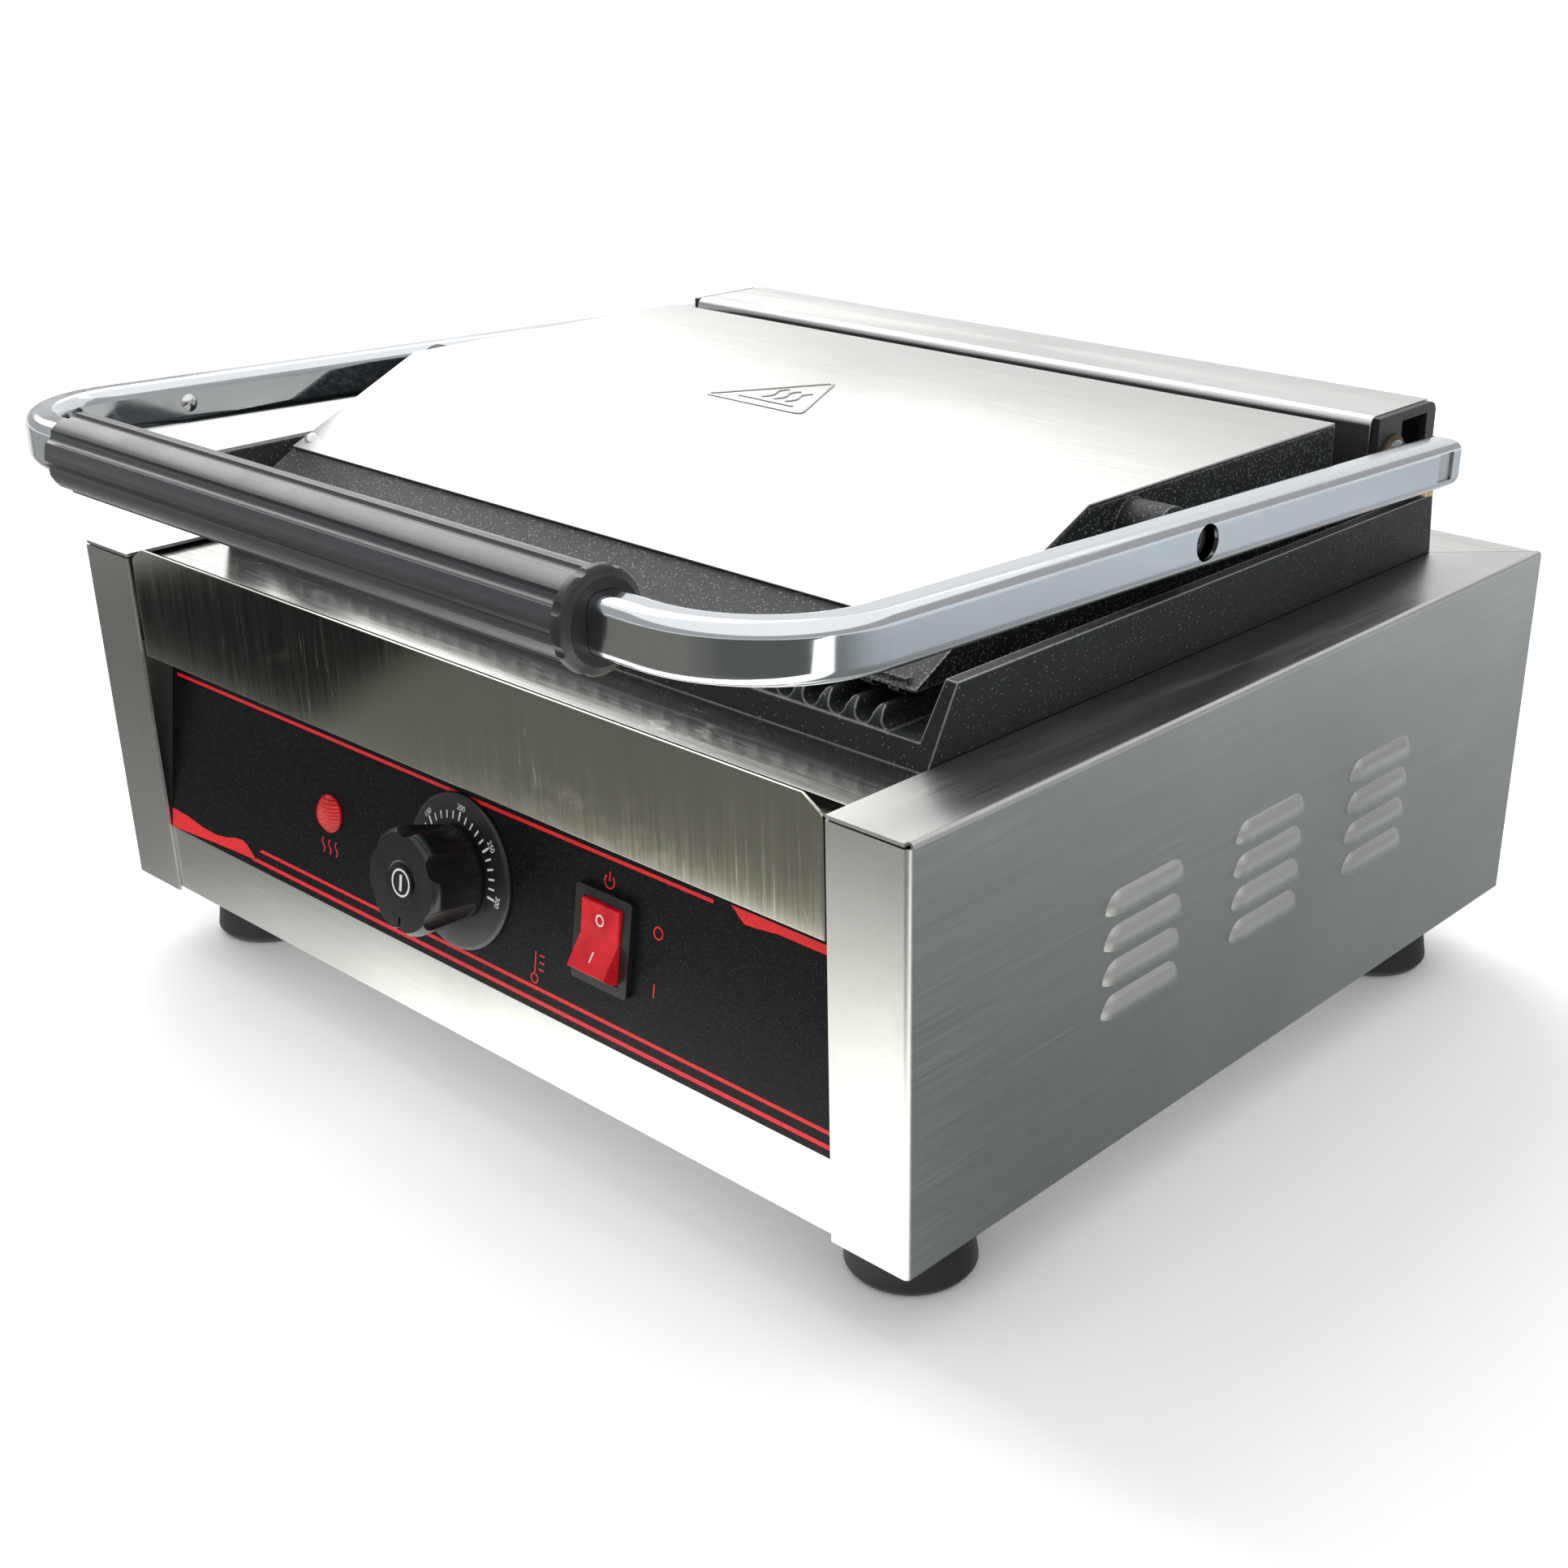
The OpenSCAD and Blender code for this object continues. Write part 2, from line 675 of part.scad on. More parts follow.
module tray_runners() {
  z = tray_bottom + 1.3;
  color(dark_steel) both_sides() {
    span([open_x - 14, front_y + 26 + panel_len * sin(panel_lean), z - sheet],
         [side_x - sheet - 0.2, front_y + tray_depth + 30, z]);
    span([side_x - 2 * sheet - 0.2, front_y + 26 + panel_len * sin(panel_lean), z - eps],
         [side_x - sheet - 0.2, front_y + tray_depth + 30, z + 12]);
  }
}

// ---- Lower grill plate ----

// Round rib tips at height 0 with U-shaped valleys; n ribs to each side of the middle
module rib_outline(n) {
  tip = 1.3;
  valley = rib_pitch / 2 - 1.9;        // radius of a valley
  low = 0.3 - rib_h;                   // lowest line of a valley, just over the bed
  edge = rib_pitch / 2 - tip;
  difference() {
    translate([-(n + 0.5) * rib_pitch, -rib_h - 1])
      square([(2 * n + 1) * rib_pitch, rib_h + 1 - tip]);
    for (k = [-n - 1 : n]) translate([(k + 0.5) * rib_pitch, 0]) {
      translate([0, low + valley]) circle(valley);
      polygon([[-valley, low + valley], [valley, low + valley], [edge, -tip],
               [edge, 1], [-edge, 1], [-edge, -tip]]);
    }
  }
  for (k = [-n : n]) translate([k * rib_pitch, -tip]) circle(tip);
}

module lower_plate() {
  w = plate_x;
  z0 = deck_z;
  z1 = deck_z + wall_h;
  t = 4.5;
  slope = wall_lean / (wall_h - deck_drop);
  ear_y = rear_y - rear_flange - 0.8;
  nose = rib_h + 0.5;                    // radius of the ribs' front ends
  color(iron) {
    difference() {
      union() {
        // bed and leaning walls
        along(plate_y0, ear_y) polygon([
          [-w, z0], [w, z0], [w, z0 + deck_drop], [w + wall_lean, z1], [w + wall_lean - t, z1],
          [bed_x, bed_z], [-bed_x, bed_z], [-w - wall_lean + t, z1], [-w - wall_lean, z1],
          [-w, z0 + deck_drop]]);
      }
      // the hinge stands between the rear ends of the walls
      span([-hinge_x - bracket_t - 1.5, plate_y1, z0 - 1], [hinge_x + bracket_t + 1.5, rear_y, z1 + 1]);
      // slanting rear ends
      across(-side_x, side_x) polygon([[ear_y + 1, z0 - 1], [ear_y + 1, z1 + 1],
        [ear_y - 22, z1 + 1], [ear_y - 22, z1], [ear_y, z0 + deck_drop + 1]]);
    }
    // ribs, their front ends rounded down to the bed
    intersection() {
      along(plate_y0 + 0.2, plate_y1 - 8) translate([0, rib_z]) rib_outline(rib_n);
      across(-side_x, side_x) {
        translate([plate_y0 + nose + 0.7, bed_z - 2]) square([plate_len, rib_h + 4]);
        translate([plate_y0 + nose + 0.7, bed_z]) circle(nose);
      }
    }
    // low rear wall
    span([-bed_x, plate_y1 - 6, bed_z - eps], [bed_x, plate_y1, rib_z + 2]);
    // fins that hold the heater, on the underside
    for (y = [pack_y0 + 4, pack_y1 - 10])
      span([-pack_x + 8, y, deck_z - 2], [pack_x - 8, y + 6, deck_z + eps]);
  }
}

// Sheathed heater: straight runs joined by half-round returns, first run at y
module heater(y, z, lift) {
  row = function(k) y + k * 2 * heat_bend;
  color([0.35, 0.33, 0.31]) {
    for (k = [0 : heat_rows - 1]) rod_x(-heat_run, heat_run, heat_r, row(k), z);
    for (k = [0 : heat_rows - 2])
      translate([k % 2 == 0 ? heat_run : -heat_run, row(k) + heat_bend, z])
        rotate([0, 0, k % 2 == 0 ? -90 : 90]) rotate_extrude(angle = 180)
          translate([heat_bend, 0]) circle(heat_r);
    // cold ends, bent away from the plate
    for (k = [0, heat_rows - 1]) {
      translate([-heat_run, row(k), z]) sphere(heat_r);
      translate([-heat_run, row(k), min(z, z + lift)])
        cylinder(h = abs(lift), r = heat_r * 0.6);
    }
  }
}

// Flat sheet beside a heater, with holes for the heater's cold ends
module pack_sheet(y, z, t) {
  difference() {
    span([-pack_x + 2, y - 13, z], [pack_x - 2, y + pack_d - 15, z + t]);
    for (k = [0, heat_rows - 1])
      translate([-heat_run, y + k * 2 * heat_bend, z - 5]) cylinder(h = t + 10, r = heat_r);
  }
}

module lower_heater() heater(heat_low_y, lower_heater_z, -18);
module lower_heater_clamp() color(dark_steel) pack_sheet(heat_low_y, lower_clamp_z, 1.5);
module lower_insulation() color(wool) pack_sheet(heat_low_y, lower_clamp_z - 8.2, 8);

module lower_heat_shield() {
  z = lower_clamp_z - 9.4;
  x = pack_x;
  color(steel) difference() {
    union() {
      span([-x, pack_y0, z], [x, pack_y1, deck_z - sheet - 0.1]);
      span([-x - 10, pack_y0 - 8, deck_z - 2 * sheet - 0.1], [x + 10, pack_y1, deck_z - sheet - 0.1]);
    }
    span([-x + 1, pack_y0 + 0.8, z + 1], [x - 1, pack_y1 - 0.8, deck_z]);
    for (k = [0, heat_rows - 1])
      translate([-heat_run, heat_low_y + k * 2 * heat_bend, z])
        cylinder(h = 8, r = heat_r, center = true);
  }
}

// ---- Hinge ----

module hinge_cover() {
  y1 = hinge_y + hinge_d;
  r = 3.5;
  color(steel) across(-hinge_x, hinge_x) difference() {
    union() {
      translate([hinge_y, deck_z]) square([hinge_d, hinge_z - deck_z - r]);
      translate([hinge_y + r, deck_z]) square([hinge_d - r, hinge_z - deck_z]);
      translate([hinge_y + r, hinge_z - r]) circle(r);
    }
    translate([hinge_y + sheet, deck_z - 1]) square([hinge_d - 2 * sheet, hinge_z - deck_z - r + 1]);
    translate([hinge_y + r, deck_z]) square([hinge_d - r - sheet, hinge_z - deck_z - sheet]);
    translate([hinge_y + r, hinge_z - r]) circle(r - sheet);
  }
}

module hinge_bracket() {
  // plate that closes the hinge's end and carries the axle's bush
  x0 = bracket_x;
  y0 = hinge_y + 1;
  y1 = hinge_y + hinge_d + 1.5;
  z1 = hinge_z - 0.4;
  color(black) difference() {
    union() {
      span([x0, y0, deck_z], [x0 + bracket_t, hinge_y + hinge_d - 0.2, z1]);
      span([x0, y0 + 20, top_z + 0.3], [x0 + bracket_t, y1, z1]);
      span([x0 - 24, y0 + 2, deck_z], [x0 + eps, y1 - 6, deck_z + bracket_t]);
    }
    rod_x(x0 - 10, x0 + 10, bush_r, axle_y, axle_z);
    span([x0 - 1, hinge_y + hinge_d - 23, hinge_z - 16], [x0 + 10, hinge_y + hinge_d - 5, hinge_z - 4]);
    bracket_screw_places() cylinder(h = 20, r = 2.2, center = true);
    // rounded rear top corner
    translate([x0 - 1, y1 - 4, z1 - 4]) rotate([90, 0, 90]) linear_extrude(bracket_t + 2) difference() {
      square(5);
      circle(4);
    }
  }
}

module hinge_bracket_left() mirror([1, 0, 0]) hinge_bracket();
module hinge_bracket_right() hinge_bracket();

module axle_bushes() {
  x0 = bracket_x;
  color([0.75, 0.6, 0.3]) both_sides() difference() {
    union() {
      rod_x(x0 - 4, x0 + bracket_t + 1, bush_r, axle_y, axle_z);
      rod_x(x0 - 6, x0, bush_flange_r, axle_y, axle_z);
    }
    rod_x(x0 - 8, x0 + 12, axle_r + fit, axle_y, axle_z);
  }
}

module bracket_screw_places() {
  both_sides() for (y = [hinge_y + 11, hinge_y + hinge_d - 12.5])
    translate([hinge_x - 12, y, deck_z + bracket_t]) children();
}

module bracket_screws() {
  color(steel) bracket_screw_places() dome_screw(3.8, 2.1, bracket_t + sheet + 3);
}

// Torsion spring round the axle: wire swept along a helix
module helix(turns, r, wire, pitch, per_turn = 12, sides = 5) {
  n = turns * per_turn;
  ring = function(k) let (a = 360 * k / per_turn) [
    for (j = [0 : sides - 1]) let (b = 360 * j / sides, q = r + wire * cos(b))
      [pitch * k / per_turn + wire * sin(b), q * cos(a), q * sin(a)]];
  points = [for (k = [0 : n]) each ring(k)];
  faces = concat(
    [[for (j = [0 : sides - 1]) j]],
    [for (k = [0 : n - 1], j = [0 : sides - 1]) let (i = (j + 1) % sides)
      [k * sides + j, (k + 1) * sides + j, (k + 1) * sides + i, k * sides + i]],
    [[for (j = [sides - 1 : -1 : 0]) n * sides + j]]);
  polyhedron(points = points, faces = faces);
}

module counter_spring() {
  color(dark_steel) translate([hinge_x - 66, axle_y, axle_z]) helix(11, axle_r + 2.1, 1.2, 4);
}

module counter_spring_left() mirror([1, 0, 0]) counter_spring();
module counter_spring_right() counter_spring();

// ---- Handle ----

module handle_plane() {
  translate([0, axle_y, axle_z]) rotate([-handle_tilt, 0, 0]) children();
}

// U of one flat outline: arms, two bends and the front bar
module swept_u(w, h, r, back) {
  arm = reach - tube_bend;
  both_sides() {
    translate([arm_x, back, 0]) rotate([90, 0, 0]) linear_extrude(arm + back) round_rect(w, h, r);
    translate([arm_x - tube_bend, -arm, 0]) rotate([0, 0, -90]) rotate_extrude(angle = 90)
      translate([tube_bend, 0]) round_rect(w, h, r);
  }
  translate([tube_bend - arm_x, -reach, 0]) rotate([90, 0, 90])
    linear_extrude(2 * (arm_x - tube_bend)) round_rect(w, h, r);
}

module handle_tube() {
  end = 10.5;                             // arm behind the axle's centre
  plug = 22;                              // solid end that holds the axle
  hole_r = pivot_r + 2;
  color(chrome) handle_plane() difference() {
    intersection() {
      swept_u(tube_t, tube_h, tube_r, end);
      // rounded rear ends
      across(-body_w, body_w) {
        translate([-2 * reach, -tube_h]) square([2 * reach + end - 5, 2 * tube_h]);
        translate([end - 6, 0]) round_rect(12, tube_h, 5);
      }
    }
    swept_u(tube_t - 2 * tube_wall, tube_h - 2 * tube_wall, tube_r - tube_wall, -plug + end);
    both_sides() {
      rod_x(arm_x, arm_x + tube_t, hole_r, -pivot_back, 0);
      rod_x(arm_x - tube_t, arm_x, pivot_r + fit, -pivot_back, 0);
      translate([arm_x, 0, 0]) rotate([0, 90, 0]) linear_extrude(tube_t + 2, center = true)
        square(axle_sq + 0.1, center = true);
      rod_x(arm_x - tube_t, arm_x - tube_t / 2 + tube_wall + 0.5, 2.1, -screw_run, 0);
      translate([arm_x, -2, -tube_h]) cylinder(h = tube_h - axle_sq / 2, r = 2.1);
    }
  }
}

module handle_grip() {
  grooves = 8;
  c = collar_w;
  color([0.2, 0.21, 0.22]) handle_plane()
    translate([-grip_left, -reach, 0]) rotate([90, 0, 90]) difference() {
      union() {
        translate([0, 0, 1.2]) linear_extrude(grip_left + grip_right - c - 1.2) grip_outline(grooves, 0);
        linear_extrude(1.2 + eps) grip_outline(grooves, 0.8);
      }
      translate([0, 0, -1]) linear_extrude(grip_left + grip_right)
        round_rect(tube_t + 0.1, tube_h + 0.1, tube_r);
    }
}

module grip_outline(grooves, less) {
  difference() {
    circle(grip_r - less);
    for (k = [0 : grooves - 1]) rotate(k * 360 / grooves + 12)
      translate([grip_r + 1, 0]) circle(2.6);
  }
}

// Clamping ring with shallow finger scallops round its rim
module grip_collar() {
  r = collar_r;
  lobes = 8;
  color(black) handle_plane()
    translate([grip_right - collar_w, -reach, 0]) rotate([90, 0, 90]) difference() {
      rotate_extrude() polygon([[0, 0], [r - 1.6, 0], [r - 0.4, 0.6], [r, 1.6], [r, 3.4],
        [r - 0.6, 4.4], [r - 2.2, 5.2], [r - 3.4, collar_w], [0, collar_w]]);
      for (k = [0 : lobes - 1]) rotate([0, 0, (k + 0.5) * 360 / lobes])
        translate([r + 2.2, 0, -1]) cylinder(h = collar_w + 2, r = 3);
      translate([0, 0, -1]) linear_extrude(collar_w + 2) round_rect(tube_t + 0.1, tube_h + 0.1, tube_r);
    }
}

module axle() {
  x1 = hinge_x + bracket_t + 2;           // the round part ends outside the brackets
  tip = arm_x + tube_t / 2 - 0.9;
  color(steel) handle_plane() {
    rod_x(-x1, x1, axle_r);
    both_sides() translate([x1 - eps, 0, 0]) rotate([90, 0, 90]) linear_extrude(tip - x1 + eps)
      intersection() {
        square(axle_sq, center = true);
        circle(axle_r);
      }
  }
}

module arm_set_screws() {
  color([0.85, 0.68, 0.3]) handle_plane() both_sides()
    translate([arm_x, -2, -tube_h / 2 - 1.6]) {
      cylinder(h = 1.6, r = 3.4);
      cylinder(h = 1.6 + tube_h / 2 - axle_sq / 2 - 0.1, r = 2);
    }
}

module arm_dome_screws() {
  color(chrome) handle_plane() both_sides()
    translate([arm_x - tube_t / 2, -screw_run, 0]) rotate([0, -90, 0])
      dome_screw(3.4, 2, 3, 2);
}

// ---- Upper grill plate and lid ----

// Outside of the casting, under the cover
module casting_outline(less, top) {
  s = (lid_z - cover_low) / (fold_y - cover_y0);
  polygon([[lid_y0 + less, upper_bed - 2], [lid_y0 + less, lip_z - less * 0.4],
           [cover_y0 - 0.4 + less, cover_low - cover_t - 0.6 - less * 0.4],
           [cover_y0 + less * 0.6, cover_low - cover_t - 0.2 + top],
           [fold_y + less * 0.4, lid_z - cover_t - 0.2 + top],
           [cover_y1 - less, lid_z - cover_t - 0.2 + top], [cover_y1 - less, upper_bed - 2]]);
}

module upper_plate() {
  boss_r = 9;
  color(iron) difference() {
    union() {
      difference() {
        across(-lid_x, lid_x) casting_outline(0, 0);
        // hollow for heater and blanket, open under the cover
        across(-lid_x + cast_t, lid_x - cast_t) intersection() {
          casting_outline(cast_t, 20);
          translate([front_y, upper_bed + plate_t]) square([body_d, 200]);
        }
      }
      intersection() {
        along(lid_y0 + 1, cover_y1 - 1) translate([0, upper_z]) mirror([0, 1]) rib_outline(rib_n);
        across(-side_x, side_x) translate([lid_y0, upper_z - 1]) {
          translate([6, 0]) square([cover_y1 - lid_y0 - 12, rib_h + 2]);
          translate([6, rib_h + 1.6]) circle(rib_h);
          translate([cover_y1 - lid_y0 - 6, rib_h + 1.6]) circle(rib_h);
        }
      }
      // pivot bosses, reaching almost to the arms
      both_sides()
        rod_x(lid_x - cast_t - 8, arm_x - tube_t / 2 - 0.6, boss_r, pivot_y, pivot_z);
      // posts for the cover's screws
      cover_posts() translate([0, 0, -12]) cylinder(h = 12 - cover_t - 0.3, r = 3.6);
    }
    both_sides() rod_x(lid_x - 8, arm_x, pivot_r + fit, pivot_y, pivot_z);
    cover_posts() translate([0, 0, -10]) cylinder(h = 12, r = 2 + fit);
  }
}

// Places of the cover's two screws, on its slope at the front corners
module cover_posts() {
  slope = atan((lid_z - cover_low) / (fold_y - cover_y0));
  for (x = [-1, 1])
    translate([x * (lid_x - 4.6), cover_y0 + 6, cover_low + 6 * tan(slope)]) rotate([slope, 0, 0])
      children();
}

module lid_cover() {
  a = atan((lid_z - cover_low) / (fold_y - cover_y0));
  t = cover_t;
  color(steel) difference() {
    across(-lid_x, lid_x) polygon([
      [cover_y0, cover_low], [fold_y, lid_z], [cover_y1, lid_z], [cover_y1, lid_z - t],
      [fold_y + t * tan(a / 2), lid_z - t], [cover_y0 + t * sin(a), cover_low - t * cos(a)]]);
    cover_posts() cylinder(h = 8, r = 2.1, center = true);
  }
}

module cover_screws() {
  color(chrome) cover_posts() dome_screw(3.4, 2, 9, 2);
}

module upper_heater() heater(heat_up_y, upper_heater_z, 6);
module upper_heater_clamp() color(dark_steel) pack_sheet(heat_up_y, upper_clamp_z, 1.5);
module upper_insulation() color(wool) pack_sheet(heat_up_y, upper_clamp_z + 1.7, 8);

module pivot_bolts() {
  color(steel) both_sides() {
    rod_x(lid_x - 8, arm_x - tube_t / 2 + tube_wall + 0.3, pivot_r, pivot_y, pivot_z);
    difference() {
      rod_x(arm_x - tube_t / 2 + tube_wall + 0.3, arm_x + 2, pivot_r + 1.4, pivot_y, pivot_z);
      translate([arm_x - 1, pivot_y, pivot_z]) rotate([0, 90, 0]) cylinder(h = 6, r = 2.6, $fn = 6);
    }
  }
}

side_panel_left();
side_panel_right();
rear_panel();
base_plate();
deck_plate();
control_panel();
panel_film();
tray_runners();
foot_front_left();
foot_front_right();
foot_rear_left();
foot_rear_right();
foot_screws();
lower_plate();
lower_heater();
lower_heater_clamp();
lower_insulation();
lower_heat_shield();
thermostat_body();
thermostat_bulb();
dial_ring();
lamp_lens();
lamp_body();
switch_frame();
terminal_block();
cord_gland();
gland_nut();
rear_screws();
hinge_cover();
hinge_bracket_left();
hinge_bracket_right();
axle_bushes();
counter_spring_left();
counter_spring_right();
bracket_screws();
drip_tray();
thermostat_knob();
thermostat_spindle();
knob_cap();
switch_rocker();
handle_tube();
handle_grip();
grip_collar();
axle();
arm_set_screws();
arm_dome_screws();
upper_plate();
lid_cover();
upper_heater();
upper_heater_clamp();
upper_insulation();
pivot_bolts();
cover_screws();
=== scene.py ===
"""Looks of the countertop panini press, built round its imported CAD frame."""
import json
import math

import bmesh
import bpy
from mathutils import Matrix, Vector
from bpy.props import FloatProperty, FloatVectorProperty, IntProperty, PointerProperty


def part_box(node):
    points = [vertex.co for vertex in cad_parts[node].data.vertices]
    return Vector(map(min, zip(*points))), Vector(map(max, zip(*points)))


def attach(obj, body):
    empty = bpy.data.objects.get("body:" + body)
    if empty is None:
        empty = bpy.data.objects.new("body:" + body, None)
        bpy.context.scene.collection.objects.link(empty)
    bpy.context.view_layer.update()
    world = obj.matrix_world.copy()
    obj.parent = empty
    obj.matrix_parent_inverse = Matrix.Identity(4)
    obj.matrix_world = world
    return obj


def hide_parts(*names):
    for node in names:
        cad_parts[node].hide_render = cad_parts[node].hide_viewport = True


bl_info = {
    "name": "Panini Press",
    "version": (1, 0, 0),
    "blender": (4, 5, 0),
    "location": "View3D > Sidebar > Press",
    "description": "Builds the finished pieces of a countertop panini press round its frame",
    "category": "Object",
}

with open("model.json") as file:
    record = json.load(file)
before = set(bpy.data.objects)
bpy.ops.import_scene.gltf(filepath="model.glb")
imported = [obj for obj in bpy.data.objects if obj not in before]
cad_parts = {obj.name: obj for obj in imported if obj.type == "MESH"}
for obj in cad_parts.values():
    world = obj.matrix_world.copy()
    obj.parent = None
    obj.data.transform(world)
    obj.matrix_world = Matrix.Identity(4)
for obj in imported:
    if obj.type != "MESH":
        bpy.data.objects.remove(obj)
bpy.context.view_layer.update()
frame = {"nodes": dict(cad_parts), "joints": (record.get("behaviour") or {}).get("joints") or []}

MM = 0.001
JOINTS = {j["name"]: j for j in frame["joints"]}
DIAL_CENTRE = Vector(JOINTS["knob_turn"]["pos_m"])
PANEL_OUT = -Vector(JOINTS["knob_turn"]["axis"]).normalized()
PANEL_UP = PANEL_OUT.cross(Vector((1, 0, 0))).normalized()
if PANEL_UP.z < 0:
    PANEL_UP.negate()


# ---------------------------------------------------------------- settings


class PressSizes(bpy.types.PropertyGroup):
    """Sizes of the finished pieces that the frame leaves open"""

    sheet_ease: FloatProperty(
        name="Sheet edge", description="Rounding of a cut sheet edge",
        default=0.25 * MM, min=0.0, unit="LENGTH")
    cast_ease: FloatProperty(
        name="Casting edge", description="Rounding of a cast edge",
        default=0.7 * MM, min=0.0, unit="LENGTH")
    moulded_ease: FloatProperty(
        name="Moulded edge", description="Rounding of a moulded edge",
        default=0.35 * MM, min=0.0, unit="LENGTH")
    print_height: FloatProperty(
        name="Print", description="Thickness of ink on the panel and the dial",
        default=0.06 * MM, min=0.0, unit="LENGTH")
    tick_step: IntProperty(
        name="Degrees a mark", description="Temperature between two marks on the dial",
        default=10, min=5, max=50)
    stamp_height: FloatProperty(
        name="Stamp", description="Relief of the mark stamped in the lid",
        default=0.55 * MM, min=0.0, unit="LENGTH")


class PressFinish(bpy.types.PropertyGroup):
    """Colours of the finished pieces"""

    steel: FloatVectorProperty(
        name="Brushed steel", description="Colour of the folded sheet",
        subtype="COLOR", size=3, min=0, max=1, default=(0.56, 0.565, 0.545))
    cast_iron: FloatVectorProperty(
        name="Cast iron", description="Colour of the grill plates",
        subtype="COLOR", size=3, min=0, max=1, default=(0.009, 0.011, 0.012))
    film: FloatVectorProperty(
        name="Panel film", description="Ground colour of the panel's film",
        subtype="COLOR", size=3, min=0, max=1, default=(0.004, 0.005, 0.006))
    red: FloatVectorProperty(
        name="Red print", description="Lines on the panel's film",
        subtype="COLOR", size=3, min=0, max=1, default=(0.82, 0.012, 0.014))
    rocker: FloatVectorProperty(
        name="Rocker", description="Colour of the switch's rocker",
        subtype="COLOR", size=3, min=0, max=1, default=(0.60, 0.008, 0.016))
    grip: FloatVectorProperty(
        name="Grip", description="Colour of the handle's grip",
        subtype="COLOR", size=3, min=0, max=1, default=(0.024, 0.027, 0.032))


class PressStage(bpy.types.PropertyGroup):
    """Floor and lights"""

    floor: FloatVectorProperty(
        name="Floor", description="Colour of the floor",
        subtype="COLOR", size=3, min=0, max=1, default=(0.90, 0.90, 0.90))
    day: FloatProperty(
        name="Daylight", description="Strength of the broad light from the left",
        default=1.8, min=0.0)
    overhead: FloatProperty(
        name="Overhead", description="Strength of the broad light from above",
        default=1.75, min=0.0)
    wall: FloatProperty(
        name="Back wall", description="Power of the bright wall behind, on the left",
        default=15.0, min=0.0, subtype="POWER")
    sky: FloatProperty(
        name="Surroundings", description="Strength of the even light from all round",
        default=0.48, min=0.0)


def sizes():
    return bpy.context.scene.press_sizes


def finish():
    return bpy.context.scene.press_finish


# ---------------------------------------------------------------- meshes


def mesh_object(name, mesh, body, material, nodes=()):
    """A new piece on a body, which stands for the nodes it replaces."""
    piece = bpy.data.objects.new(name, mesh)
    bpy.context.scene.collection.objects.link(piece)
    mesh.materials.clear()
    mesh.materials.append(material)
    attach(piece, body)
    if nodes:
        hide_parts(*nodes)
    return piece


def from_bmesh(bm, name, sharp=32):
    bmesh.ops.recalc_face_normals(bm, faces=bm.faces)
    mesh = bpy.data.meshes.new(name)
    bm.to_mesh(mesh)
    bm.free()
    mesh.shade_smooth()
    mesh.set_sharp_from_angle(angle=math.radians(sharp))
    return mesh


def frame_bmesh(node, join=True):
    """The node's surface with its seams closed and, on request, its flat areas joined."""
    source = frame["nodes"][node].data
    mesh = bpy.data.meshes.new(node + "_copy")
    mesh.from_pydata([v.co for v in source.vertices], [], [p.vertices[:] for p in source.polygons])
    bm = bmesh.new()
    bm.from_mesh(mesh)
    bpy.data.meshes.remove(mesh)
    bmesh.ops.remove_doubles(bm, verts=bm.verts, dist=2e-6)
    bmesh.ops.dissolve_degenerate(bm, edges=bm.edges, dist=1e-6)
    if join:
        bmesh.ops.dissolve_limit(bm, angle_limit=math.radians(0.4), verts=bm.verts, edges=bm.edges)
    return bm


def modified(mesh, add):
    """The mesh after the modifiers that add(object) puts on it."""
    holder = bpy.data.objects.new("holder", mesh)
    bpy.context.scene.collection.objects.link(holder)
    add(holder)
    graph = bpy.context.evaluated_depsgraph_get()
    result = bpy.data.meshes.new_from_object(holder.evaluated_get(graph))
    bpy.data.objects.remove(holder)
    bpy.data.meshes.remove(mesh)
    return result


def ease_edges(mesh, width, segments=2, angle=40):
    def add(holder):
        bevel = holder.modifiers.new("ease", "BEVEL")
        bevel.width = width
        bevel.segments = segments
        bevel.limit_method = "ANGLE"
        bevel.angle_limit = math.radians(angle)
        bevel.use_clamp_overlap = True
        bevel.harden_normals = False
        bevel.miter_outer = "MITER_ARC"
        weighted = holder.modifiers.new("weight", "WEIGHTED_NORMAL")
        weighted.keep_sharp = True
    mesh.shade_smooth()
    mesh.set_sharp_from_angle(angle=math.radians(180))
    return modified(mesh, add)


def eased(node, body, material, width, segments=2, join=True):
    """A copy of a frame node with its hard edges rounded off."""
    mesh = from_bmesh(frame_bmesh(node, join), node + "_eased")
    mesh = ease_edges(mesh, width, segments)
    mesh.name = node + "_eased"
    return mesh_object(mesh.name, mesh, body, material, [node])


def panel_point(x, s, out=0.0):
    """A point on the leaning panel: x and s in mm from the dial's centre, out from the panel."""
    return DIAL_CENTRE + Vector((1, 0, 0)) * x * MM + PANEL_UP * s * MM + PANEL_OUT * out * MM


def add_prism(bm, outline, place, low, high):
    """A closed prism over a flat outline; place(x, y, height) gives a point."""
    bottom = [bm.verts.new(place(x, y, low)) for x, y in outline]
    top = [bm.verts.new(place(x, y, high)) for x, y in outline]
    bm.faces.new(top)
    bm.faces.new(list(reversed(bottom)))
    for i in range(len(outline)):
        j = (i + 1) % len(outline)
        bm.faces.new([bottom[i], bottom[j], top[j], top[i]])


def arc(cx, cy, r, start, end, steps):
    """Points on an arc, degrees counted from +x."""
    return [(cx + r * math.cos(math.radians(start + (end - start) * i / steps)),
             cy + r * math.sin(math.radians(start + (end - start) * i / steps)))
            for i in range(steps + 1)]


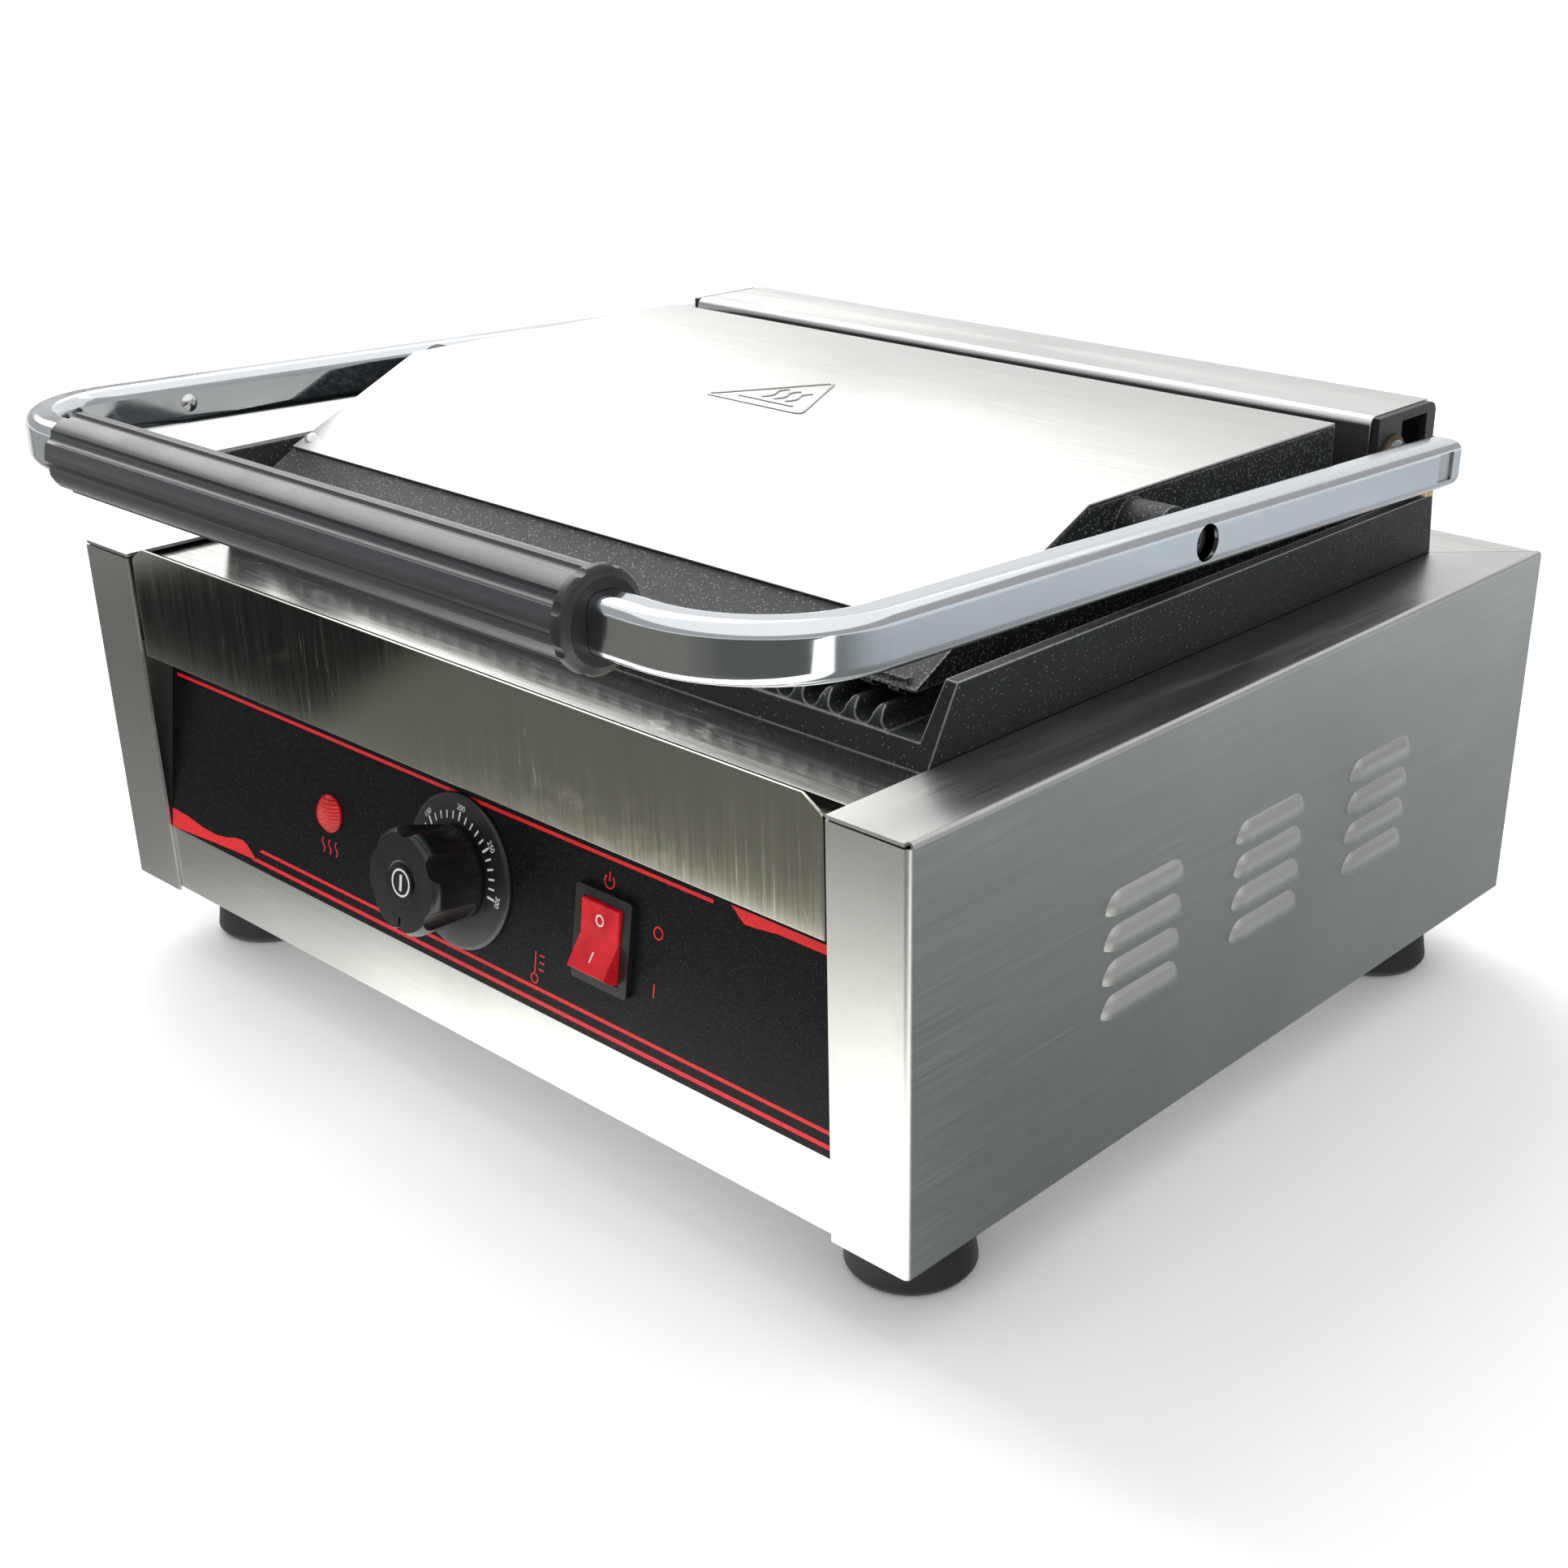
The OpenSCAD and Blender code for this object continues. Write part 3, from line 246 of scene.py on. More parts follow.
def add_band(bm, line, width, place, low, high):
    """A strip of the given width along a line of points, as one closed prism."""
    left, right = [], []
    for i, (x, y) in enumerate(line):
        a = line[max(i - 1, 0)]
        b = line[min(i + 1, len(line) - 1)]
        d = Vector((b[0] - a[0], b[1] - a[1])).normalized()
        left.append((x - d.y * width / 2, y + d.x * width / 2))
        right.append((x + d.y * width / 2, y - d.x * width / 2))
    n = len(line)
    rows = [[bm.verts.new(place(px, py, h)) for px, py in side] for h in (low, high)
            for side in (left, right)]
    bl, br, tl, tr = rows
    for i in range(n - 1):
        bm.faces.new([tl[i], tl[i + 1], tr[i + 1], tr[i]])
        bm.faces.new([bl[i], br[i], br[i + 1], bl[i + 1]])
        bm.faces.new([bl[i], bl[i + 1], tl[i + 1], tl[i]])
        bm.faces.new([br[i], tr[i], tr[i + 1], br[i + 1]])
    bm.faces.new([bl[0], tl[0], tr[0], br[0]])
    bm.faces.new([bl[-1], br[-1], tr[-1], tl[-1]])


# ---------------------------------------------------------------- shader groups


def new_group(name, inputs, outputs):
    """An empty node group with its sockets; inputs are (name, kind, default)."""
    tree = bpy.data.node_groups.new(name, "ShaderNodeTree")
    for label, kind, value in inputs:
        socket = tree.interface.new_socket(label, in_out="INPUT", socket_type=kind)
        if value is not None:
            socket.default_value = value
    for label, kind in outputs:
        tree.interface.new_socket(label, in_out="OUTPUT", socket_type=kind)
    return tree, tree.nodes.new("NodeGroupInput"), tree.nodes.new("NodeGroupOutput")


def node(tree, kind, links=(), **values):
    """A node with its properties and plain inputs set, and others linked by (input, socket)."""
    made = tree.nodes.new(kind)
    for key, value in values.items():
        if hasattr(made, key):
            setattr(made, key, value)
        else:
            made.inputs[key.replace("_", " ").title()].default_value = value
    for key, socket in links:
        tree.links.new(socket, made.inputs[key])
    return made


def maths(tree, operation, a, b=None, clamp=False):
    made = tree.nodes.new("ShaderNodeMath")
    made.operation = operation
    made.use_clamp = clamp
    for i, value in enumerate((a, b)):
        if value is None:
            continue
        if isinstance(value, (int, float)):
            made.inputs[i].default_value = value
        else:
            tree.links.new(value, made.inputs[i])
    return made.outputs[0]


def spread(tree, value, low, high, to_low=0.0, to_high=1.0):
    """The value mapped from one range to another, held inside it."""
    made = tree.nodes.new("ShaderNodeMapRange")
    tree.links.new(value, made.inputs[0])
    for i, number in enumerate((low, high, to_low, to_high)):
        if isinstance(number, (int, float)):
            made.inputs[i + 1].default_value = number
        else:
            tree.links.new(number, made.inputs[i + 1])
    return made.outputs[0]


def noise(tree, vector, scale, detail=3.0, roughness=0.55, distortion=0.0):
    made = tree.nodes.new("ShaderNodeTexNoise")
    tree.links.new(vector, made.inputs["Vector"])
    made.inputs["Detail"].default_value = detail
    made.inputs["Roughness"].default_value = roughness
    made.inputs["Distortion"].default_value = distortion
    if isinstance(scale, (int, float)):
        made.inputs["Scale"].default_value = scale
    else:
        tree.links.new(scale, made.inputs["Scale"])
    return made.outputs[0]


def stretched(tree, vector, factors):
    made = tree.nodes.new("ShaderNodeVectorMath")
    made.operation = "MULTIPLY"
    tree.links.new(vector, made.inputs[0])
    if isinstance(factors, tuple):
        made.inputs[1].default_value = factors
    else:
        tree.links.new(factors, made.inputs[1])
    return made.outputs[0]


def brushing_group():
    """Fine lines left by the brushing belt, with cloudy handling marks."""
    tree, given, out = new_group(
        "Brushing",
        [("Stretch", "NodeSocketVector", (1, 1, 1)), ("Lines", "NodeSocketFloat", 900.0),
         ("Clouds", "NodeSocketFloat", 9.0)],
        [("Lines", "NodeSocketFloat"), ("Clouds", "NodeSocketFloat"),
         ("Marks", "NodeSocketFloat")])
    place = node(tree, "ShaderNodeTexCoord").outputs["Object"]
    along = stretched(tree, place, given.outputs["Stretch"])
    lines = noise(tree, along, given.outputs["Lines"], 4.0, 0.7)
    tree.links.new(lines, out.inputs["Lines"])
    clouds = noise(tree, place, given.outputs["Clouds"], 5.0, 0.6, 0.6)
    tree.links.new(clouds, out.inputs["Clouds"])
    scuffs = noise(tree, stretched(tree, place, (1.0, 1.7, 1.3)), 95.0, 6.0, 0.7, 0.3)
    patch = spread(tree, noise(tree, place, 14.0, 2.0), 0.52, 0.68)
    tree.links.new(maths(tree, "MULTIPLY", spread(tree, scuffs, 0.5, 0.75), patch),
                   out.inputs["Marks"])
    return tree


def scratches_group():
    """Sparse thin scratches lying along one direction."""
    tree, given, out = new_group(
        "Scratches",
        [("Stretch", "NodeSocketVector", (1, 1, 1)), ("Scale", "NodeSocketFloat", 60.0),
         ("Amount", "NodeSocketFloat", 0.2)],
        [("Mask", "NodeSocketFloat")])
    place = node(tree, "ShaderNodeTexCoord").outputs["Object"]
    along = stretched(tree, place, given.outputs["Stretch"])
    lines = noise(tree, along, given.outputs["Scale"], 2.0, 0.5)
    ridge = maths(tree, "ABSOLUTE", maths(tree, "SUBTRACT", lines, 0.5))
    thin = spread(tree, ridge, 0.0, 0.006, 1.0, 0.0)
    patch = spread(tree, noise(tree, place, 21.0, 3.0),
                   maths(tree, "SUBTRACT", 0.75, given.outputs["Amount"]), 0.8)
    tree.links.new(maths(tree, "MULTIPLY", thin, patch, True), out.inputs["Mask"])
    return tree


def wear_group():
    """Mask of the outer edges, broken up so that they look rubbed."""
    tree, given, out = new_group(
        "Edge Wear",
        [("Width", "NodeSocketFloat", 0.0008), ("Grain", "NodeSocketFloat", 700.0),
         ("Amount", "NodeSocketFloat", 0.5)],
        [("Mask", "NodeSocketFloat")])
    rounded = node(tree, "ShaderNodeBevel", [("Radius", given.outputs["Width"])], samples=6)
    plain = node(tree, "ShaderNodeNewGeometry")
    dot = tree.nodes.new("ShaderNodeVectorMath")
    dot.operation = "DOT_PRODUCT"
    tree.links.new(rounded.outputs[0], dot.inputs[0])
    tree.links.new(plain.outputs["Normal"], dot.inputs[1])
    turn = spread(tree, dot.outputs["Value"], 0.995, 0.86)
    place = node(tree, "ShaderNodeTexCoord").outputs["Object"]
    grain = noise(tree, place, given.outputs["Grain"], 4.0, 0.65)
    cut = maths(tree, "SUBTRACT", 1.0, given.outputs["Amount"])
    broken = spread(tree, grain, maths(tree, "MULTIPLY", cut, 0.8),
                    maths(tree, "ADD", maths(tree, "MULTIPLY", cut, 0.8), 0.12))
    tree.links.new(maths(tree, "MULTIPLY", turn, broken, True), out.inputs["Mask"])
    return tree


def speckle_group():
    """Small bright grains of one size, scattered over the surface."""
    tree, given, out = new_group(
        "Speckle",
        [("Scale", "NodeSocketFloat", 1500.0), ("Share", "NodeSocketFloat", 0.1)],
        [("Mask", "NodeSocketFloat"), ("Height", "NodeSocketFloat")])
    place = node(tree, "ShaderNodeTexCoord").outputs["Object"]
    cells = node(tree, "ShaderNodeTexVoronoi", [("Vector", place), ("Scale", given.outputs["Scale"])])
    pick = node(tree, "ShaderNodeSeparateColor", [("Color", cells.outputs["Color"])])
    chosen = maths(tree, "LESS_THAN", pick.outputs[0], given.outputs["Share"])
    core = spread(tree, cells.outputs["Distance"], 0.15, 0.5, 1.0, 0.0)
    tree.links.new(maths(tree, "MULTIPLY", chosen, core), out.inputs["Mask"])
    tree.links.new(cells.outputs["Distance"], out.inputs["Height"])
    return tree


GROUPS = {}


def group(name):
    makers = {"Brushing": brushing_group, "Scratches": scratches_group,
              "Edge Wear": wear_group, "Speckle": speckle_group}
    if name not in GROUPS:
        GROUPS[name] = makers[name]()
    return GROUPS[name]


def placed(tree, name, **values):
    made = tree.nodes.new("ShaderNodeGroup")
    made.node_tree = group(name)
    for key, value in values.items():
        made.inputs[key.replace("_", " ").title()].default_value = value
    return made.outputs


# ---------------------------------------------------------------- materials


def material(name, **values):
    """A material with its Principled shader and that shader's plain inputs set."""
    made = bpy.data.materials.new(name)
    made.use_nodes = True
    shader = made.node_tree.nodes["Principled BSDF"]
    for key, value in values.items():
        label = key.replace("_", " ").title().replace("Ior", "IOR")
        socket = shader.inputs[label]
        socket.default_value = (*value, 1.0) if label.endswith("Color") or label == "Specular Tint" \
            else value
    return made, made.node_tree, shader


def mixed(tree, mask, a, b):
    made = tree.nodes.new("ShaderNodeMix")
    made.data_type = "RGBA"
    for i, value in ((6, a), (7, b)):
        if isinstance(value, tuple):
            made.inputs[i].default_value = (*value, 1.0)
        else:
            tree.links.new(value, made.inputs[i])
    tree.links.new(mask, made.inputs[0])
    return made.outputs[2]


def bump(tree, shader, height, strength, distance):
    made = tree.nodes.new("ShaderNodeBump")
    made.inputs["Strength"].default_value = strength
    made.inputs["Distance"].default_value = distance
    tree.links.new(height, made.inputs["Height"])
    tree.links.new(made.outputs[0], shader.inputs["Normal"])
    return made


def shade(colour, factor):
    return tuple(min(1.0, c * factor) for c in colour)


def brushed_steel(name, stretch, rough=0.34, painted_light_scale=1.0, lines=900.0):
    """Belt-brushed stainless sheet; stretch is small along the brushing. painted_light_scale darkens or
    lightens the whole sheet, as painted shade where below 1 and painted light where above 1.
    """
    made, tree, shader = material(name, metallic=1.0, anisotropic=0.35)
    base = shade(tuple(finish().steel), painted_light_scale)
    brush = placed(tree, "Brushing", stretch=stretch, lines=lines)
    scratch = placed(tree, "Scratches", stretch=stretch, scale=260.0, amount=0.16)
    tone = spread(tree, brush["Lines"], 0.25, 0.75)
    colour = mixed(tree, tone, shade(base, 0.90), shade(base, 1.09))
    cloudy = spread(tree, brush["Clouds"], 0.35, 0.7, 0.0, 0.6)
    colour = mixed(tree, cloudy, colour, shade(base, 0.80))
    colour = mixed(tree, maths(tree, "MULTIPLY", brush["Marks"], 0.35), colour, shade(base, 0.62))
    colour = mixed(tree, maths(tree, "MULTIPLY", scratch["Mask"], 0.5), colour, shade(base, 1.3))
    tree.links.new(colour, shader.inputs["Base Color"])
    gloss = spread(tree, brush["Lines"], 0.25, 0.75, rough - 0.05, rough + 0.07)
    gloss = maths(tree, "ADD", gloss, spread(tree, brush["Clouds"], 0.3, 0.7, -0.04, 0.06))
    tree.links.new(gloss, shader.inputs["Roughness"])
    bump(tree, shader, brush["Lines"], 0.10, 0.0002)
    return made


def polished_steel(name, stretch, base, rough=0.12):
    """Mirror-finished sheet with hairline scratches."""
    made, tree, shader = material(name, metallic=1.0)
    brush = placed(tree, "Brushing", stretch=stretch, lines=500.0, clouds=14.0)
    scratch = placed(tree, "Scratches", stretch=stretch, scale=170.0, amount=0.3)
    colour = mixed(tree, spread(tree, brush["Clouds"], 0.35, 0.7, 0.0, 0.5), base, shade(base, 0.82))
    colour = mixed(tree, maths(tree, "MULTIPLY", scratch["Mask"], 0.25), colour, (0.85, 0.85, 0.82))
    tree.links.new(colour, shader.inputs["Base Color"])
    gloss = spread(tree, brush["Lines"], 0.25, 0.75, rough - 0.04, rough + 0.05)
    gloss = maths(tree, "ADD", gloss, maths(tree, "MULTIPLY", brush["Marks"], 0.12))
    gloss = maths(tree, "ADD", gloss, maths(tree, "MULTIPLY", scratch["Mask"], 0.25))
    tree.links.new(gloss, shader.inputs["Roughness"])
    bump(tree, shader, brush["Clouds"], 0.03, 0.0006)
    return made


def chromed(name, rough=0.07, base=(0.66, 0.69, 0.72), smudge=0.16):
    made, tree, shader = material(name, metallic=1.0)
    brush = placed(tree, "Brushing", stretch=(1, 1, 1), lines=700.0, clouds=22.0)
    colour = mixed(tree, spread(tree, brush["Clouds"], 0.4, 0.7, 0.0, 0.3), base, shade(base, 0.86))
    tree.links.new(colour, shader.inputs["Base Color"])
    gloss = spread(tree, brush["Clouds"], 0.35, 0.75, rough, rough + smudge)
    gloss = maths(tree, "ADD", gloss, maths(tree, "MULTIPLY", brush["Marks"], 0.2))
    tree.links.new(gloss, shader.inputs["Roughness"])
    bump(tree, shader, brush["Clouds"], 0.02, 0.0005)
    return made


def cast_iron(name, grain=900.0, relief=0.35, wear=0.55, salt=0.06):
    """Sand-cast iron with a baked coat, rubbed bright on its edges."""
    base = tuple(finish().cast_iron)
    made, tree, shader = material(name, specular_ior_level=0.28)
    place = node(tree, "ShaderNodeTexCoord").outputs["Object"]
    sand = noise(tree, place, grain, 5.0, 0.7)
    broad = noise(tree, place, 35.0, 3.0, 0.6)
    worn = placed(tree, "Edge Wear", width=0.0011, grain=1300.0, amount=wear)["Mask"]
    flecks = placed(tree, "Speckle", scale=1500.0, share=salt)["Mask"]
    colour = mixed(tree, spread(tree, sand, 0.3, 0.7), shade(base, 0.7), shade(base, 1.7))
    colour = mixed(tree, spread(tree, broad, 0.35, 0.7, 0.0, 0.5), colour, shade(base, 2.0))
    colour = mixed(tree, flecks, colour, (0.30, 0.31, 0.31))
    colour = mixed(tree, worn, colour, (0.42, 0.43, 0.42))
    tree.links.new(colour, shader.inputs["Base Color"])
    tree.links.new(spread(tree, worn, 0.0, 1.0, 0.0, 0.7), shader.inputs["Metallic"])
    tree.links.new(spread(tree, sand, 0.3, 0.7, 0.40, 0.62), shader.inputs["Roughness"])
    bump(tree, shader, sand, relief, 0.0006)
    return made


def moulded(name, base, rough=0.42, grain=1400.0, relief=0.12, wear=0.35, light=1.9, coat=0.0):
    """Grained moulded plastic or rubber, lighter where it is rubbed."""
    made, tree, shader = material(name, coat_weight=coat, coat_roughness=0.15)
    place = node(tree, "ShaderNodeTexCoord").outputs["Object"]
    fine = noise(tree, place, grain, 3.0, 0.6)
    broad = noise(tree, place, 45.0, 4.0, 0.6)
    worn = placed(tree, "Edge Wear", width=0.0009, grain=500.0, amount=wear)["Mask"]
    colour = mixed(tree, spread(tree, broad, 0.3, 0.75), shade(base, 0.85), shade(base, 1.25))
    colour = mixed(tree, maths(tree, "MULTIPLY", worn, 0.6), colour, shade(base, light))
    tree.links.new(colour, shader.inputs["Base Color"])
    gloss = spread(tree, broad, 0.3, 0.7, rough - 0.06, rough + 0.08)
    gloss = maths(tree, "ADD", gloss, spread(tree, fine, 0.3, 0.7, -0.03, 0.03))
    tree.links.new(gloss, shader.inputs["Roughness"])
    bump(tree, shader, fine, relief, 0.0002)
    return made


def sparkle_film(name):
    """Black film with fine bright grains under a satin face."""
    base = tuple(finish().film)
    made, tree, shader = material(name, specular_ior_level=0.10)
    grains = placed(tree, "Speckle", scale=2100.0, share=0.25)
    place = node(tree, "ShaderNodeTexCoord").outputs["Object"]
    fine = noise(tree, place, 1800.0, 2.0, 0.6)
    colour = mixed(tree, maths(tree, "MULTIPLY", grains["Mask"], 0.25), base, (0.16, 0.17, 0.18))
    colour = mixed(tree, spread(tree, fine, 0.55, 0.75, 0.0, 0.25), colour, (0.04, 0.04, 0.044))
    tree.links.new(colour, shader.inputs["Base Color"])
    tree.links.new(spread(tree, fine, 0.3, 0.7, 0.30, 0.46), shader.inputs["Roughness"])
    bump(tree, shader, fine, 0.18, 0.0001)
    return made


def ink(name, base, rough=0.4):
    made, tree, shader = material(name, specular_ior_level=0.25)
    place = node(tree, "ShaderNodeTexCoord").outputs["Object"]
    fine = noise(tree, place, 1200.0, 3.0, 0.6)
    colour = mixed(tree, spread(tree, fine, 0.3, 0.7), shade(base, 0.86), shade(base, 1.1))
    tree.links.new(colour, shader.inputs["Base Color"])
    tree.links.new(spread(tree, fine, 0.3, 0.7, rough - 0.06, rough + 0.06),
                   shader.inputs["Roughness"])
    return made


def lit_plastic(name, base, painted_glow=0.35, rib=0.0):
    """Clear coloured plastic of a tone that varies at random, with a painted glow: it gives off its own
    colour at the strength painted_glow, though it is no lamp; with level ribs of the given pitch.
    """
    made, tree, shader = material(
        name, coat_weight=0.2, coat_roughness=0.08, specular_ior_level=0.35)
    place = node(tree, "ShaderNodeTexCoord").outputs["Object"]
    broad = noise(tree, place, 120.0, 2.0, 0.5)
    colour = mixed(tree, spread(tree, broad, 0.3, 0.7), shade(base, 0.75), shade(base, 1.15))
    tree.links.new(colour, shader.inputs["Base Color"])
    tree.links.new(spread(tree, broad, 0.3, 0.7, 0.18, 0.28), shader.inputs["Roughness"])
    # painted glow: the plastic gives off its own colour, though nothing in it is lit
    tree.links.new(colour, shader.inputs["Emission Color"])
    shader.inputs["Emission Strength"].default_value = painted_glow
    if rib:
        height = node(tree, "ShaderNodeSeparateXYZ", [("Vector", place)]).outputs[2]
        wave = maths(tree, "SINE", maths(tree, "MULTIPLY", height, 2 * math.pi / rib))
        bump(tree, shader, wave, 0.9, 0.0003)
    return made


def plated(name, base, rough=0.32):
    """Zinc-plated or drawn metal of the small fittings."""
    made, tree, shader = material(name, metallic=1.0)
    brush = placed(tree, "Brushing", stretch=(1, 1, 1), lines=600.0, clouds=60.0)
    colour = mixed(tree, spread(tree, brush["Clouds"], 0.35, 0.7), base, shade(base, 0.78))
    tree.links.new(colour, shader.inputs["Base Color"])
    tree.links.new(spread(tree, brush["Lines"], 0.3, 0.7, rough - 0.07, rough + 0.1),
                   shader.inputs["Roughness"])
    bump(tree, shader, brush["Lines"], 0.08, 0.0002)
    return made


def fibre(name, base):
    """Pressed mineral fibre of the insulation."""
    made, tree, shader = material(name, sheen_weight=0.3)
    place = node(tree, "ShaderNodeTexCoord").outputs["Object"]
    strands = noise(tree, stretched(tree, place, (1.0, 5.0, 3.0)), 260.0, 5.0, 0.7)
    colour = mixed(tree, spread(tree, strands, 0.3, 0.7), shade(base, 0.8), base)
    tree.links.new(colour, shader.inputs["Base Color"])
    tree.links.new(spread(tree, strands, 0.3, 0.7, 0.8, 0.95), shader.inputs["Roughness"])
    bump(tree, shader, strands, 0.5, 0.001)
    return made


MATERIALS = {}


def look(name):
    """The material of that name, made on its first use."""
    makers = {
        # side, lid and hinge sheets are one steel, scaled by painted shade (side, lid) and painted
        # light (hinge)
        "side sheet": lambda n: brushed_steel(n, (1.0, 0.02, 1.0), 0.36, 0.92),
        "flat sheet": lambda n: brushed_steel(n, (0.02, 1.0, 1.0), 0.33, 1.0),
        "lid sheet": lambda n: brushed_steel(n, (0.02, 1.0, 1.0), 0.36, 0.93),
        "tray sheet": lambda n: polished_steel(n, (1.0, 1.0, 0.03), (0.50, 0.49, 0.43), 0.13),
        "deck sheet": lambda n: polished_steel(n, (0.03, 1.0, 1.0), (0.60, 0.60, 0.57), 0.16),
        "hinge sheet": lambda n: brushed_steel(n, (0.02, 1.0, 1.0), 0.30, 1.05),
        "handle chrome": lambda n: chromed(n),
        "screw chrome": lambda n: chromed(n, 0.14, (0.66, 0.66, 0.65)),
        "lower iron": lambda n: cast_iron(n, 900.0, 0.45, 0.6, 0.05),
        "upper iron": lambda n: cast_iron(n, 800.0, 0.5, 0.45, 0.14),
        "zinc": lambda n: plated(n, (0.55, 0.55, 0.54)),
        "yellow zinc": lambda n: plated(n, (0.72, 0.52, 0.20), 0.26),
        "bronze": lambda n: plated(n, (0.16, 0.12, 0.07), 0.5),
        "copper": lambda n: plated(n, (0.70, 0.34, 0.20), 0.3),
        "heater": lambda n: plated(n, (0.20, 0.17, 0.15), 0.5),
        "spring": lambda n: plated(n, (0.16, 0.16, 0.17), 0.35),
        "wool": lambda n: fibre(n, (0.72, 0.69, 0.60)),
        "ceramic": lambda n: moulded(n, (0.72, 0.70, 0.63), 0.3, 900.0, 0.05, 0.1, 1.1),
        "powder coat": lambda n: moulded(n, (0.018, 0.019, 0.021), 0.45, 900.0, 0.25, 0.3, 4.0),
        "rubber": lambda n: moulded(n, (0.012, 0.012, 0.013), 0.62, 1100.0, 0.3, 0.3, 3.0),
        "black plastic": lambda n: moulded(n, (0.007, 0.007, 0.008), 0.34, 1700.0, 0.08, 0.3, 3.0),
        "knob plastic": lambda n: moulded(n, (0.008, 0.008, 0.009), 0.30, 1500.0, 0.10, 0.3, 3.0),
        "grip": lambda n: moulded(n, tuple(finish().grip), 0.36, 1500.0, 0.14, 0.4, 1.9, 0.25),
        "collar": lambda n: moulded(n, (0.014, 0.014, 0.016), 0.38, 1500.0, 0.10, 0.4, 2.6),
        "film": sparkle_film,
        "red ink": lambda n: ink(n, tuple(finish().red)),
        "white ink": lambda n: ink(n, (0.75, 0.76, 0.76)),
        # the rocker and the lamp's lens both carry a painted glow
        "rocker red": lambda n: lit_plastic(n, tuple(finish().rocker), 0.12),
        "lens red": lambda n: lit_plastic(n, (0.62, 0.008, 0.006), 0.2, 1.25 * MM),
    }
    if name not in MATERIALS:
        MATERIALS[name] = makers[name](name)
    return MATERIALS[name]


def paint(names, material_name):
    """Gives frame nodes that are shown as they are their material."""
    for name in names:
        data = frame["nodes"][name].data
        data.materials.clear()
        data.materials.append(look(material_name))


# ---------------------------------------------------------------- operators


class PRESS_OT_case(bpy.types.Operator):
    """Folded panels, deck, hinge and feet of the case"""

    bl_idname = "press.case"
    bl_label = "Case"

    def execute(self, context):
        ease = sizes().sheet_ease
        for node_name in ("side_panel_left", "side_panel_right"):
            eased(node_name, "case", look("side sheet"), ease, join=False)
        eased("rear_panel", "case", look("flat sheet"), ease)
        eased("control_panel", "case", look("flat sheet"), ease)
        eased("deck_plate", "case", look("deck sheet"), ease)
        eased("hinge_cover", "case", look("hinge sheet"), ease)
        for node_name in ("hinge_bracket_left", "hinge_bracket_right"):
            eased(node_name, "case", look("powder coat"), 0.4 * MM)
        for node_name in ("foot_front_left", "foot_front_right", "foot_rear_left", "foot_rear_right"):
            eased(node_name, "case", look("rubber"), 0.6 * MM)
        paint(["base_plate", "tray_runners", "foot_screws", "rear_screws", "bracket_screws"], "zinc")
        paint(["axle_bushes"], "bronze")
        paint(["counter_spring_left", "counter_spring_right"], "spring")
        paint(["cord_gland", "gland_nut"], "black plastic")
        return {"FINISHED"}


class PRESS_OT_inner(bpy.types.Operator):
    """Heaters, insulation, thermostat and wiring block inside"""

    bl_idname = "press.inner"
    bl_label = "Inner Pieces"

    def execute(self, context):
        paint(["lower_heater", "upper_heater"], "heater")
        paint(["lower_heater_clamp", "upper_heater_clamp", "lower_heat_shield",
               "thermostat_spindle", "pivot_bolts"], "zinc")
        paint(["lower_insulation", "upper_insulation"], "wool")
        paint(["thermostat_body", "terminal_block"], "ceramic")
        paint(["thermostat_bulb"], "copper")
        paint(["lamp_body"], "black plastic")
        return {"FINISHED"}


class PRESS_OT_tray(bpy.types.Operator):
    """Slide-out drip tray"""

    bl_idname = "press.tray"
    bl_label = "Drip Tray"

    def execute(self, context):
        eased("drip_tray", "tray", look("tray sheet"), 0.3 * MM, 3)
        return {"FINISHED"}


class PRESS_OT_plates(bpy.types.Operator):
    """Grooved cast plates"""

    bl_idname = "press.plates"
    bl_label = "Grill Plates"

    def execute(self, context):
        eased("lower_plate", "case", look("lower iron"), sizes().cast_ease)
        eased("upper_plate", "lid", look("upper iron"), sizes().cast_ease)
        return {"FINISHED"}


class PRESS_OT_lid(bpy.types.Operator):
    """Folded cover of the lid with its stamped mark and screws"""

    bl_idname = "press.lid"
    bl_label = "Lid Cover"

    def execute(self, context):
        eased("lid_cover", "lid", look("lid sheet"), 0.3 * MM)
        low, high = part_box("lid_cover")
        self.stamp(low, high)
        paint(["cover_screws"], "screw chrome")
        return {"FINISHED"}

    def stamp(self, low, high):
        """A raised triangle with a bar and three rising waves."""
        front = low.y + 88.0 * MM
        relief = sizes().stamp_height / MM

        def place(x, y, h):
            return Vector((x * MM, front + y * MM, high.z + h * MM))

        bm = bmesh.new()
        corners = [(-28.0, 0.0), (22.0, 0.0), (-3.5, 45.0)]
        rounded = []
        for i, corner in enumerate(corners):
            before, after = corners[i - 1], corners[(i + 1) % 3]
            for k in range(5):
                t = k / 4
                a = Vector(corner).lerp(Vector(before), 0.07)
                b = Vector(corner).lerp(Vector(after), 0.07)
                m = Vector(corner)
                p = a.lerp(m, t).lerp(m.lerp(b, t), t)
                rounded.append((p.x, p.y))
        rounded.append(rounded[0])
        rounded.append(rounded[1])
        add_band(bm, rounded, 1.3, place, -0.05, relief)
        add_band(bm, [(-17.0, 7.0), (11.0, 7.0)], 1.3, place, -0.05, relief)
        for x in (-9.0, -3.0, 3.0):
            wave = [(x + 1.6 * math.sin(t / 12 * 2 * math.pi), 11.0 + t * 1.25) for t in range(13)]
            add_band(bm, wave, 1.3, place, -0.05, relief)
        mesh = ease_edges(from_bmesh(bm, "lid_stamp"), 0.3 * MM, 3)
        mesh.name = "lid_stamp"
        mesh_object("lid_stamp", mesh, "lid", look("lid sheet"))


